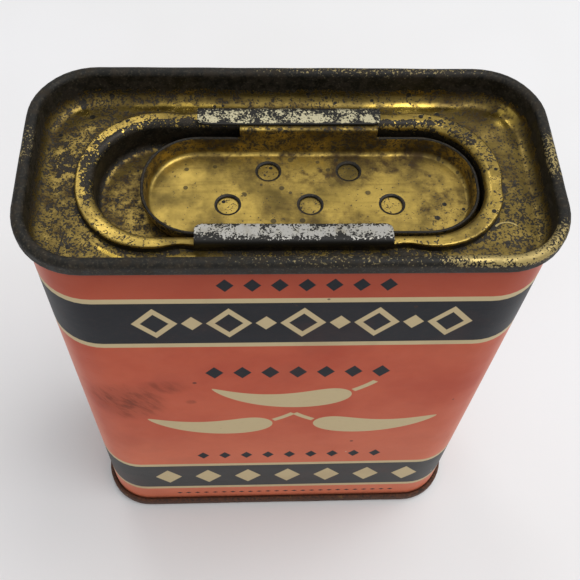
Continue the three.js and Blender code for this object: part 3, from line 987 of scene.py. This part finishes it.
def pepper(finish, tip, shoulder, centre, radius, girth):
    """A pepper lies along an arc. With t from 0 at the tip to 1 at the shoulder, it is inked where
    the distance from the arc is under girth * t^0.65 * sqrt(1 - t^7); its stem is a thin band
    further along the arc. Angles are in degrees."""
    x = finish.x - centre[0]
    z = finish.z - centre[1]
    turn = finish.math("ARCTAN2", z, x) * (180 / np.pi)
    t = (turn - tip) / (shoulder - tip)
    off = abs(finish.math("SQRT", x * x + z * z) - radius)
    body_t = finish.math("MINIMUM", finish.math("MAXIMUM", t, 0.0), 1.0)
    width = girth * body_t**0.65 * (1 - body_t**7) ** 0.5
    body = finish.smooth(width - off, 0, INK_EDGE)
    body = body * finish.smooth(t, 0.001, 0.01)
    stem = finish.smooth(STEM_WIDTH / 2 - off, -INK_EDGE / 2, INK_EDGE / 2)
    stem = stem * finish.smooth(t, STEM_START, STEM_START + 0.01)
    stem = stem * finish.smooth(t, STEM_END, STEM_END - 0.01)
    return finish.either(body, stem)


print(f"an ink's edge is {INK_EDGE} mm soft")

# %% Places and colours of the print
BANDS = ((7.23, 17.78), (58.06, 68.08))  # heights of the charcoal bands' edges
BAND_LINE = 0.95  # width of the cream line along each edge
# A row of lozenges: height, pitch, how many on each side of the middle, half width, half height.
NAVY_ROWS = (
    (71.2, 2.9, 3, 0.95, 1.25),
    (50.6, 3.5, 3, 1.15, 1.6),
    (21.9, 3.3, 4, 0.9, 1.3),
    (4.3, 1.5, 12, 0.5, 0.35),
)
HOLLOW_ROW = (63.2, 8.4, 2, 2.6, 3.3)
BETWEEN_ROW = (63.2, 8.4, 1.5, 1.2, 1.5)
CREAM_ROW = (12.5, 6.4, 3, 2.1, 2.9)
# A pepper: tip and shoulder in degrees, the arc's centre and radius, and the girth.
PEPPERS = (
    (-134, -54, (PRINT_MIDDLE - 1.2, 56.2), 14.2, 3.3),
    (-130, -58, (PRINT_MIDDLE - 10.9, 47.6), 14.6, 3.4),
    (-50, -122, (PRINT_MIDDLE + 10.9, 47.6), 14.6, 3.4),
)
# A smudge: x, height, half width, half height, strength.
SMUDGES = ((-20.9, 42.0, 6.0, 6.5, 0.9), (-16.2, 46.4, 4.5, 2.4, 0.6), (-12.6, 41.9, 0.9, 0.8, 1.0))
CORAL = paint(198, 92, 62)
DEEP_CORAL = paint(184, 78, 53)
# Painted shade: the coral darkened towards the top seam.
CORAL_SEAM_SHADE = paint(146, 58, 38)
# Painted light from the floor: the coral lightened low down.
CORAL_FLOOR_LIGHT = paint(226, 132, 98)
# Painted sheen: the coral lightened at the rounded corners.
CORAL_SHEEN = paint(232, 160, 140)
CHARCOAL = paint(25, 28, 34)
CHARCOAL_CLOUD = paint(34, 36, 41)
# Painted light from the floor on the lower charcoal band.
CHARCOAL_FLOOR_LIGHT = paint(78, 78, 76)
NAVY = paint(20, 27, 34)
CREAM = paint(203, 183, 141)
PRINT_GRAIN = paint(120, 84, 64)
SOOT = paint(62, 44, 38)
RUBBED_VARNISH = paint(110, 62, 52)
RUST_SPECK = paint(60, 40, 34)
CHIPPED = paint(205, 190, 170)
# Grime at the foot, and a painted shadow in a band just under the top seam.
GRIME_AND_SEAM_SHADOW = paint(84, 44, 32)
print(f"{len(NAVY_ROWS)} rows in navy, {len(PEPPERS)} peppers in cream, {len(SMUDGES)} smudges")

# %% The printed finish


def printed_finish():
    """Inks in the order of printing, painted light and shade, and what use has laid over them."""
    finish = Finish("printed_tinplate")
    bands = finish.either(*(level_band(finish, *band) for band in BANDS))
    half = BAND_LINE / 2
    edges = [edge for band in BANDS for edge in band]
    lines = finish.either(*(level_band(finish, edge - half, edge + half) for edge in edges))
    navy = finish.either(*(lozenges(finish, *row) for row in NAVY_ROWS))
    cream = finish.either(
        lozenges(finish, *HOLLOW_ROW, hollow=0.62),
        lozenges(finish, *BETWEEN_ROW, shift=0.5),
        lozenges(finish, *CREAM_ROW),
        *(pepper(finish, *shape) for shape in PEPPERS),
    )

    cloud = finish.noise(9, seed=1, detail=4)
    grain = finish.noise(0.8, seed=2, detail=4, rough=0.7)
    coral = finish.layers(
        CORAL,
        (finish.smooth(cloud, 0.3, 0.75), DEEP_CORAL),
        # Painted shade darkens the coral towards the top seam.
        (finish.smooth(finish.z, 60, 76) * 0.6, CORAL_SEAM_SHADE),
        # Painted light from the floor lightens the coral low down.
        (finish.smooth(finish.z, 46, 8) * 0.6, CORAL_FLOOR_LIGHT),
        # Painted sheen lightens the coral at the rounded corners.
        (finish.smooth(abs(finish.x), 25.2, 28.2) * 0.6, CORAL_SHEEN),
    )
    charcoal = finish.layers(
        CHARCOAL,
        (finish.smooth(cloud, 0.35, 0.7), CHARCOAL_CLOUD),
        # Painted light from the floor lightens the charcoal low down.
        (finish.smooth(finish.z, 40, 12) * 0.6, CHARCOAL_FLOOR_LIGHT),
    )

    streaks = finish.noise(0.9, seed=4, detail=4, stretch=(1, 1, 4), lean=32)
    soot = finish.either(*(finish.spot(*smudge, up=finish.z) for smudge in SMUDGES))
    soot = soot * (finish.smooth(streaks, 0.42, 0.66) * 0.6 + 0.4) * finish.smooth(finish.y, -8, -11)
    rubbed = finish.smooth(finish.noise(14, seed=5), 0.52, 0.7)
    # Painted shadow in a band just under the top seam.
    seam_shadow = finish.smooth(finish.z, 72.6, 74.6)
    foot = finish.smooth(finish.z + grain * 2.4, 4.6, 2.6)
    colour = finish.layers(
        coral,
        (bands, charcoal),
        (lines, CREAM),
        (navy, NAVY),
        (cream, CREAM),
        (finish.smooth(grain, 0.45, 0.8) * 0.07, PRINT_GRAIN),
        (soot * 0.7, SOOT),
        (rubbed * 0.12, RUBBED_VARNISH),
        (finish.dots(3.2, 0.34, seed=6) * 0.75, RUST_SPECK),
        (finish.dots(5.3, 0.3, seed=7) * 0.8, CHIPPED),
        # Grime at the foot, and the painted shadow under the top seam.
        (finish.either(seam_shadow * 0.55, foot * 0.7), GRIME_AND_SEAM_SHADOW),
    )

    scratch = finish.smooth(finish.noise(0.5, seed=8, detail=2, stretch=(9, 9, 1)), 0.68, 0.74)
    roughness = 0.34 + cloud * 0.16 + soot * 0.2 + scratch * 0.1
    normal = finish.relief((grain, 0.010), (finish.noise(5, seed=9, detail=1), 0.10))
    return finish.close(colour, 0.0, roughness, normal, Specular_IOR_Level=0.1)


wrapper.data.materials.append(printed_finish())

# %% [markdown]
# ## Gold lacquer and how it ages
#
# Inside and on its ends the tin is coated with a transparent gold lacquer over bare tin. Where the
# lacquer is whole it is a metal with a warm colour. It fails in pin pricks first: the iron under the tin
# darkens into tiny specks, which crowd together into near-black patches on the parts that stand up or
# get touched. So every gold finish is the same net, and what differs from piece to piece is how dirty it
# is, how thick its specks stand, where it is nearly black, which is partly painted shade, and where it
# still shines, on the top end with painted highlights. The larger marks are spots, each a place with a
# size and a strength.

# %% The aged lacquer
GOLD = paint(142, 121, 64)
BRIGHT_GOLD = paint(200, 170, 87)
OLIVE = paint(109, 93, 50)
BROWN = paint(74, 58, 34)
BLACKENED = paint(24, 22, 17)
BLACK_BROWN = paint(42, 35, 25)
BLACK_GREY = paint(78, 72, 58)
CREST_GREY = paint(92, 86, 70)
CREST_GOLD = paint(176, 156, 100)
print("lacquer, brightest and black:", *np.round([BRIGHT_GOLD[:3], BLACKENED[:3]], 3))


def aged_lacquer(finish, black, dirt, specks, bright, crest=None, polish=0.0):
    """Gold that is dulled by dirt, pricked by specks and lost to black.

    black, dirt and specks are fields from about 0 to 1: where the lacquer is gone, to which the callers
    add painted shade; how much grime lies on it, to which the dish adds painted shade; and how thick the
    specks stand. bright is the colour of whole lacquer, with painted highlights laid into it on the top
    end. crest is a field too, for flecks on a black ridge, and polish is where the metal is smoother.
    """
    fine = finish.noise(0.26, seed=11, detail=2, rough=0.6)
    coarse = finish.noise(1.0, seed=12, detail=5, rough=0.65)
    cloud = finish.noise(5.5, seed=13, detail=4, rough=0.6)
    brushed = finish.noise(0.5, seed=14, detail=2, stretch=(14, 1, 1))

    grimy = dirt * finish.smooth(coarse + cloud * 0.5, 0.55, 0.95)
    gold = finish.layers(
        bright,
        (finish.smooth(cloud, 0.35, 0.7), OLIVE),
        (finish.smooth(brushed, 0.5, 0.75) * 0.25, BROWN),
        (grimy, BROWN),
    )

    level = 0.65 - specks * 0.15
    pricks = finish.smooth(fine * 0.62 + coarse * 0.38 - level, -0.02, 0.03)
    dots = finish.dots(1.1, 0.4, seed=15) * finish.smooth(specks, 0.0, 0.3)
    edge_of_black = black + (coarse - 0.5) * 1.1 + (fine - 0.5) * 0.9
    gone = finish.either(pricks, dots, finish.smooth(edge_of_black, 0.46, 0.54))
    mottled = finish.layers(
        BLACKENED,
        (finish.smooth(coarse, 0.42, 0.62), BLACK_BROWN),
        (finish.smooth(fine, 0.54, 0.66) * 0.4, BLACK_GREY),
    )
    colour = finish.layers(gold, (gone, mottled))
    shine = 1 - gone
    if crest is not None:
        flecks = finish.smooth(fine * 0.8 + coarse * 0.2 + crest * 0.24, 0.68, 0.71)
        colour = finish.layers(colour, (flecks, finish.layers(CREST_GREY, (crest, CREST_GOLD))))
        shine = finish.either(shine, flecks * 0.8)

    metal = 0.25 + shine * 0.7 - grimy * 0.25
    roughness = 0.40 - shine * 0.10 + grimy * 0.22 + cloud * 0.1 - polish * 0.14
    waves = finish.noise(3.2, seed=16, detail=1)
    normal = finish.relief((gone, -0.012), (coarse, 0.02), (waves, 0.09))
    return finish.close(colour, metal, roughness, normal, Specular_IOR_Level=0.3)


# %% Top end: dull gold panel, blackened wall and seam
# A mark here and below: middle x and y, half its length and width, and its strength.
PANEL_SMEARS = ((-25.4, 2.5, 2.8, 8.5, 0.52), (25.6, -5.5, 1.6, 2.4, 0.45))
PANEL_SPECKS = (24, -6, 6, 7, 0.3)
# Painted highlights: a reflection in front of the front ear, a glint along the ridge round the well, and
# glints in the back fillet and its two corners.
FRONT_REFLECTION = (-10, -11.0, 5.0, 2.0)
RIDGE_GLINT = (-18.3, -9.0, 3.6, 3.0)
FILLET_GLINTS = ((25.8, 9.8, 2.6, 2.2), (-24.0, 10.4, 1.6, 1.0), (-13, 11.2, 9, 0.9), (15, 11.2, 9, 0.9))
RUBBED_CREST = (
    (24, -12, 11, 6, 0.9),
    (8, -12.8, 24, 1.6, 0.45),
    (-29, 2, 2.2, 4, 0.5),
    (29, 0.5, 2.4, 5, 0.8),
    (10, 13.8, 24, 1.8, 0.6),
)
GRAZE_AT = (23.5, -6.5)  # a small curved graze in the front right corner
GRAZE_RADIUS = 1.25
HAIRLINE_AT = -23.6  # where a leaning scratch would cross the middle line
# Colour of the painted highlights.
HIGHLIGHT_GOLD = paint(246, 208, 96)


def top_end_finish():
    """Black up the wall, painted shade round the well, and painted highlights in front of the front ear,
    along the ridge round the well and in the back fillet.
    """
    finish = Finish("gold_lacquer_top_end")
    height = finish.z - PANEL_TOP
    streaks = finish.noise(0.8, seed=22, detail=3, stretch=(5, 1, 1))
    low_wall = finish.smooth(height, 0.8, 1.5)
    wall = finish.smooth(height + streaks * 1.2, 1.4, 3.2)
    around_well = finish.beyond(**WELL) - FLANGE_BAND
    # Painted shade on the panel round the band's outer edge, laid in with the black.
    shade = finish.smooth(around_well, 0.8, 0.2) * 0.56
    hairline = finish.smooth(abs(finish.x - HAIRLINE_AT - finish.y * 0.14), 0.12, 0.05)
    hairline = hairline * finish.smooth(finish.y, -6, -7)
    smears = finish.spots(PANEL_SMEARS)

    # Painted highlights: a glint along the ridge round the well, glints in the back fillet broken up by
    # noise, and a reflection in front of the front ear. Under them the black, the dirt and the specks
    # give way and the lacquer is smoother.
    ridge = finish.smooth(abs(around_well - 1.0), 0.3, 0.1) * finish.spot(*RIDGE_GLINT)
    glint_patches = finish.smooth(finish.noise(1.6, seed=24, detail=4), 0.36, 0.52)
    fillet = finish.spots(FILLET_GLINTS) * finish.smooth(height, 1.5, 0.9) * glint_patches
    painted_highlight = finish.either(finish.spot(*FRONT_REFLECTION), ridge, fillet)
    black = finish.either(wall * 0.85 + low_wall * 0.2, shade, smears, hairline) * (1 - painted_highlight)
    dirt = finish.smooth(finish.noise(7, seed=21, detail=3), 0.3, 0.6) * 0.6 + 0.3
    dirt = dirt * (1 - painted_highlight) + low_wall * 0.7
    left = finish.smooth(finish.x, 5, -22)
    specks = 0.66 + left * 0.26 + finish.spot(*PANEL_SPECKS) + low_wall * 0.4 - painted_highlight * 0.7

    off_x, off_y = finish.x - GRAZE_AT[0], finish.y - GRAZE_AT[1]
    graze = finish.math("SQRT", off_x * off_x + off_y * off_y * 2.2)
    graze = finish.smooth(abs(graze - GRAZE_RADIUS), 0.17, 0.07) * finish.smooth(off_y, 0.2, 0.5)
    crest = finish.spots(RUBBED_CREST) * finish.smooth(height, 3.0, 4.0)
    crest = finish.either(crest, graze * 2)
    bright = finish.layers(GOLD, (painted_highlight, HIGHLIGHT_GOLD))
    return aged_lacquer(finish, black, dirt, specks, bright, crest, painted_highlight)


top_end.data.materials.append(top_end_finish())

# %% Well: bright band, its inner edge worn black
WORN_LIP = (
    (-22.3, 1.5, 2.2, 8, 0.42),
    (-12, 8, 10, 1.6, 0.4),
    (13, 7.9, 9, 1.3, 0.5),
    (21.2, 3.5, 3, 6, 0.34),
)
WELL_SPECKS = ((21, 5, 6, 6, 0.25), (-20, -4, 7, 6, 0.15))
DULL_FLOOR = paint(134, 113, 60)


def well_finish():
    """Black down the wall, partly worn and partly painted shade; painted shade on the band's outer
    skirt; black along the band's inner half; and a dirty floor at the left.
    """
    finish = Finish("bright_lacquer_well")
    depth = FLANGE_TOP - finish.z
    outer = finish.beyond(**WELL)
    right = finish.smooth(finish.x, 2, 14)
    # Black down the wall is partly worn lacquer and partly painted shade in the well, with less of it on
    # the right.
    wall = finish.smooth(depth - right * 0.35, 0.12, 0.7) * finish.smooth(depth, 3.5, 3.0)
    # Painted shade on the band's outer skirt, the vertical step down to the panel.
    skirt = finish.smooth(depth, 0.1, 0.35) * finish.smooth(outer, 0.7, 1.0)
    worn_left = finish.smooth(finish.x, 0, -6) * finish.smooth(finish.y, -6, -1)
    worn_side = finish.either(worn_left, finish.smooth(finish.y, 3, 6) * 0.75)
    inner_half = finish.smooth(outer, 0.85, 0.45) * finish.smooth(outer, -1.2, -0.6) * worn_side
    inner_y = abs(finish.y) - (WELL["width"] / 2 + 0.5)
    lip = finish.smooth(depth, 0.5, 0.0) * finish.smooth(inner_y, 0.8, -0.2) * 0.5
    black = finish.either(
        wall * (1 - right * 0.3),
        skirt * 0.9,
        finish.spots(WORN_LIP) + lip * 0.3,
        inner_half * 0.66,
    )
    floor = finish.smooth(depth, 3.0, 3.4) * finish.smooth(finish.x, -10, -14)
    specks = 0.55 + floor * 0.1 + finish.spots(WELL_SPECKS)
    bright = finish.layers(BRIGHT_GOLD, (floor * 0.75, DULL_FLOOR))
    return aged_lacquer(finish, black, floor * 0.95 + 0.15, specks, bright)


well_pan.data.materials.append(well_finish())

# %% Dish: the brightest gold, browner up its walls
# Painted shade: the dish darkened at its right end and over its back half.
DISH_SHADE = ((17, 0, 4, 5, 0.4), (4, 4.5, 17, 4.5, 0.8))
DISH_SPECKS = (17, -3, 5, 4, 0.35)


def dish_finish():
    """Black along the rim and, partly as painted shade, in the holes; brown up the walls; painted shade
    from the middle on, over the back half and the right end.
    """
    finish = Finish("bright_lacquer_dish")
    height = finish.z - DISH_FLOOR
    rim = finish.smooth(height, DISH_DEPTH - 0.22, DISH_DEPTH - 0.05)
    middle = finish.smooth(abs(finish.x - DISH_MIDDLE), TAB_HALF_LENGTH + 0.3, TAB_HALF_LENGTH)
    lip = finish.smooth(height, -0.0008, -0.005)  # only a hole's lip is lower than the floor
    # The black in the holes is partly their dark lip and partly painted shade.
    black = finish.either(rim * (1 - middle * 0.75), lip * 0.8)
    wall = finish.smooth(height, 0.2, 0.9)
    near_wall = finish.smooth(abs(finish.y), 4.2, 5.6) * 0.3
    back_wall = finish.smooth(finish.y, 6.0, 7.0) * wall * 0.5
    cloud = finish.smooth(finish.noise(6, seed=23, detail=3), 0.42, 0.6) * 0.5
    # Painted shade over the back half and the right end, mottled by a cloud from the middle on; it is
    # passed in with the dirt.
    dish_shade = finish.spots(DISH_SHADE) + cloud * finish.smooth(finish.x, -14, -2)
    dirt = finish.math("MINIMUM", wall * 0.9 + near_wall + back_wall + dish_shade + 0.14, 1.0)
    specks = 0.2 + wall * 0.55 + finish.spot(*DISH_SPECKS)
    return aged_lacquer(finish, black, dirt, specks, BRIGHT_GOLD)


dish.data.materials.append(dish_finish())

# %% [markdown]
# ## Ears, bottom, solder and compound
#
# The ears are rubbed down to bare tin on top, which is grey-white where it is whole and pricked
# black all over. The bottom end is the same lacquer gone brown with rust along its seam. The
# last three pieces of the mechanical model already have the right shape, because they hardly
# show: the solder in the side seam, and the compound inside the two double seams. They keep
# their meshes and only get finishes. The wrapper gets a second slot for its inner side, whose
# faces come straight after the outer ones in its mesh.

# %% Ears
BARE_TIN = paint(178, 175, 168)
BARE_TIN_SHADE = paint(176, 172, 158)
YELLOWED_TIN = paint(204, 194, 152)
TIN_GONE = paint(26, 24, 20)


def ear_finish():
    """Bare tin that is lost at the fold, at the free edge and down the outside."""
    finish = Finish("bare_tin_ears")
    fine = finish.noise(0.22, seed=31, detail=3, rough=0.6)
    coarse = finish.noise(1.3, seed=32, detail=4, rough=0.6)
    outside = WELL["width"] / 2 + FLANGE_BAND + EAR_PROUD
    fold = finish.smooth(abs(finish.y), outside - 0.95, outside - 0.45)
    free = finish.smooth(abs(finish.y), outside - EAR_DEPTH + 0.3, outside - EAR_DEPTH)
    low = finish.smooth(finish.z, EAR_TOP - 0.35, EAR_TOP - 0.6)
    back = finish.smooth(finish.y, -1, 1)
    outer_half = finish.smooth(abs(finish.y), outside - 2.0, outside - 0.9)
    worn = (fold * 0.5 + outer_half * 0.18) * (1 - back * 0.8)
    worn = worn + free * (back * 0.4 + 0.15) + low * 0.5 + back * 0.12
    gone = finish.smooth(fine * 0.65 + coarse * 0.6 + worn * 0.5, 0.665, 0.70)
    colour = finish.layers(
        BARE_TIN,
        (finish.smooth(coarse, 0.4, 0.7), BARE_TIN_SHADE),
        (finish.smooth(finish.noise(2.5, seed=33), 0.5, 0.75) * 0.4, OLIVE),
        (back * 0.75, YELLOWED_TIN),
        (gone, TIN_GONE),
    )
    roughness = 0.4 + gone * 0.08 + coarse * 0.1
    normal = finish.relief((gone, -0.012), (coarse, 0.02))
    return finish.close(colour, 0.85 - gone * 0.5, roughness, normal)


bare_tin = ear_finish()
ear_front.data.materials.append(bare_tin)
ear_back.data.materials.append(bare_tin)

# %% Bottom end


def bottom_finish():
    """Browned gold on the panel, which turns to rust towards the seam."""
    finish = Finish("base_lacquer")
    seam = finish.smooth(finish.z, 2.6, 1.6)
    panel = finish.smooth(finish.z, BOTTOM_COUNTERSINK - 0.6, BOTTOM_COUNTERSINK - 0.1)
    fine = finish.noise(0.4, seed=41, detail=4, rough=0.6)
    coarse = finish.noise(2.2, seed=42, detail=5, rough=0.6)
    rust = finish.smooth(coarse * 0.6 + fine * 0.4 + (1 - panel) * 0.22, 0.48, 0.66)
    browned, dark_rust, rust_brown = paint(142, 112, 62), paint(46, 28, 18), paint(92, 52, 28)
    colour = finish.layers(
        browned,
        (finish.smooth(coarse, 0.35, 0.65), paint(96, 72, 42)),
        (rust, finish.layers(rust_brown, (finish.smooth(fine, 0.35, 0.7), dark_rust))),
        (finish.dots(2.4, 0.6, seed=43) * 0.8, paint(30, 22, 16)),
    )
    normal = finish.relief((fine, 0.03), (rust, 0.02))
    return finish.close(colour, 0.75 - rust * 0.6 - seam * 0.1, 0.42 + rust * 0.3, normal)


bottom_end.data.materials.append(bottom_finish())

# %% Solder, compound and the wrapper's inside


def plain_finish(name, first, second, metal, size, roughness):
    """Two tones mixed by a blotchy noise, with a grain as fine as a fifth of the blotches."""
    finish = Finish(name)
    blotch = finish.noise(size, seed=51, detail=4, rough=0.6)
    grain = finish.noise(size / 5, seed=52, detail=3, rough=0.6)
    colour = finish.layers(
        first,
        (finish.smooth(blotch, 0.35, 0.65), second),
        (finish.smooth(grain, 0.6, 0.8) * 0.5, BLACKENED),
    )
    normal = finish.relief((blotch, 0.08), (grain, 0.02))
    return finish.close(colour, metal, roughness + grain * 0.2, normal)


def dress(node, material):
    """Gives a mechanical piece that stays in view its finish."""
    frame["nodes"][node].data.materials.clear()
    frame["nodes"][node].data.materials.append(material)


inside = plain_finish(
    "inside_lacquer", paint(150, 132, 84), paint(112, 94, 58), metal=0.8, size=2.2, roughness=0.42
)
wrapper.data.materials.append(inside)
face_finish = np.zeros(len(wrapper.data.polygons), np.int32)
face_finish[wrapper_outside_faces:2 * wrapper_outside_faces] = 1
wrapper.data.polygons.foreach_set("material_index", face_finish)
solder = plain_finish(
    "solder", paint(150, 148, 140), paint(96, 94, 88), metal=0.8, size=1.4, roughness=0.4
)
compound = plain_finish(
    "seam_compound", paint(58, 50, 42), paint(34, 30, 26), metal=0.0, size=0.9, roughness=0.8
)
dress("side_seam_solder", solder)
dress("top_seam_compound", compound)
dress("bottom_seam_compound", compound)

# %% [markdown]
# ## The studio
#
# Metal shows what it mirrors, so the lights are part of the finish. A pale floor and an even,
# pale surround give the coral its soft edges. One large soft light overhead makes the bright
# strip in the fillet and the faint shadow at the tin's foot; it stands off to the right, so the
# flat gold mirrors a dimmer part of the room than the fillet does. A small window high at the
# back left lifts the flat gold from the left and draws the thin bright line in the right fillet.

# %% Floor and lights
FLOOR_SIZE = 3.0  # metres, as are the lights' places and sizes
SURROUND = (0.95, 0.97, 1.0, 1.0)
SURROUND_STRENGTH = 0.55


def floor_finish():
    """Plain paper: a faint cloud and a fine fibre."""
    finish = Finish("pale_paper")
    fibre = finish.noise(0.6, seed=61, detail=3)
    cloud = finish.smooth(finish.noise(60, seed=62, detail=2), 0.3, 0.7)
    colour = finish.layers(paint(236, 235, 234), (cloud, paint(240, 239, 239)))
    return finish.close(colour, 0.0, 0.75 + fibre * 0.1, finish.relief((fibre, 0.01)))


def soft_light(name, place, aim, size, power):
    """A rectangular area light that is turned so that it shines at its aim."""
    light = bpy.data.lights.new(name, "AREA")
    light.shape = "RECTANGLE"
    light.size, light.size_y = size
    light.energy = power
    lamp = bpy.data.objects.new(name, light)
    bpy.context.scene.collection.objects.link(lamp)
    lamp.location = place
    lamp.rotation_euler = (Vector(aim) - Vector(place)).to_track_quat("-Z", "Y").to_euler()


floor_mesh = bpy.data.meshes.new("floor")
floor_corners = np.array([(-1, -1, 0), (1, -1, 0), (1, 1, 0), (-1, 1, 0)]) * FLOOR_SIZE / 2
floor_mesh.from_pydata(floor_corners, [], [(0, 1, 2, 3)])
floor = bpy.data.objects.new("floor", floor_mesh)
bpy.context.scene.collection.objects.link(floor)
floor.data.materials.append(floor_finish())

soft_light("overhead", (0.36, 0.02, 0.9), aim=(0, 0, 0.05), size=(0.7, 0.56), power=5.0)
soft_light("back window", (-0.34, 0.8, 1.05), aim=(0, 0, 0.07), size=(0.3, 0.3), power=1.3)
world = bpy.data.worlds.new("even surround")
bpy.context.scene.world = world
world.use_nodes = True
background = world.node_tree.nodes["Background"]
background.inputs["Color"].default_value = SURROUND
background.inputs["Strength"].default_value = SURROUND_STRENGTH

# %% [markdown]
# ## The camera
#
# The tin is seen from just in front and well above, close enough that its sides run together
# towards the floor. The camera is placed by where it stands, which way it looks and how far it
# is rolled.

# %% Camera
CAMERA_AT = Vector((-5.125, -60.784, 148.344)) * MM
CAMERA_DOWN = 58.435  # degrees below level
CAMERA_TURN = 5.543  # degrees to the right of straight back
CAMERA_ROLL = 4.275  # degrees
SENSOR = 36.0  # width in millimetres, like the lens
LENS = 53.54

down, turn = np.radians(CAMERA_DOWN), np.radians(CAMERA_TURN)
forward = Vector((np.sin(turn) * np.cos(down), np.cos(turn) * np.cos(down), -np.sin(down)))
level = forward.to_track_quat("-Z", "Y").to_matrix()
roll = Matrix.Rotation(np.radians(CAMERA_ROLL), 3, "Z")
camera_data = bpy.data.cameras.new("camera")
camera_data.sensor_width = SENSOR
camera_data.lens = LENS
camera_data.clip_start = 0.01
camera_data.clip_end = 10
camera = bpy.data.objects.new("camera", camera_data)
bpy.context.scene.collection.objects.link(camera)
camera.matrix_world = Matrix.Translation(CAMERA_AT) @ (level @ roll).to_4x4()
bpy.context.scene.camera = camera
bpy.context.scene.view_settings.view_transform = "Standard"
print("camera looks along", [round(v, 4) for v in forward])
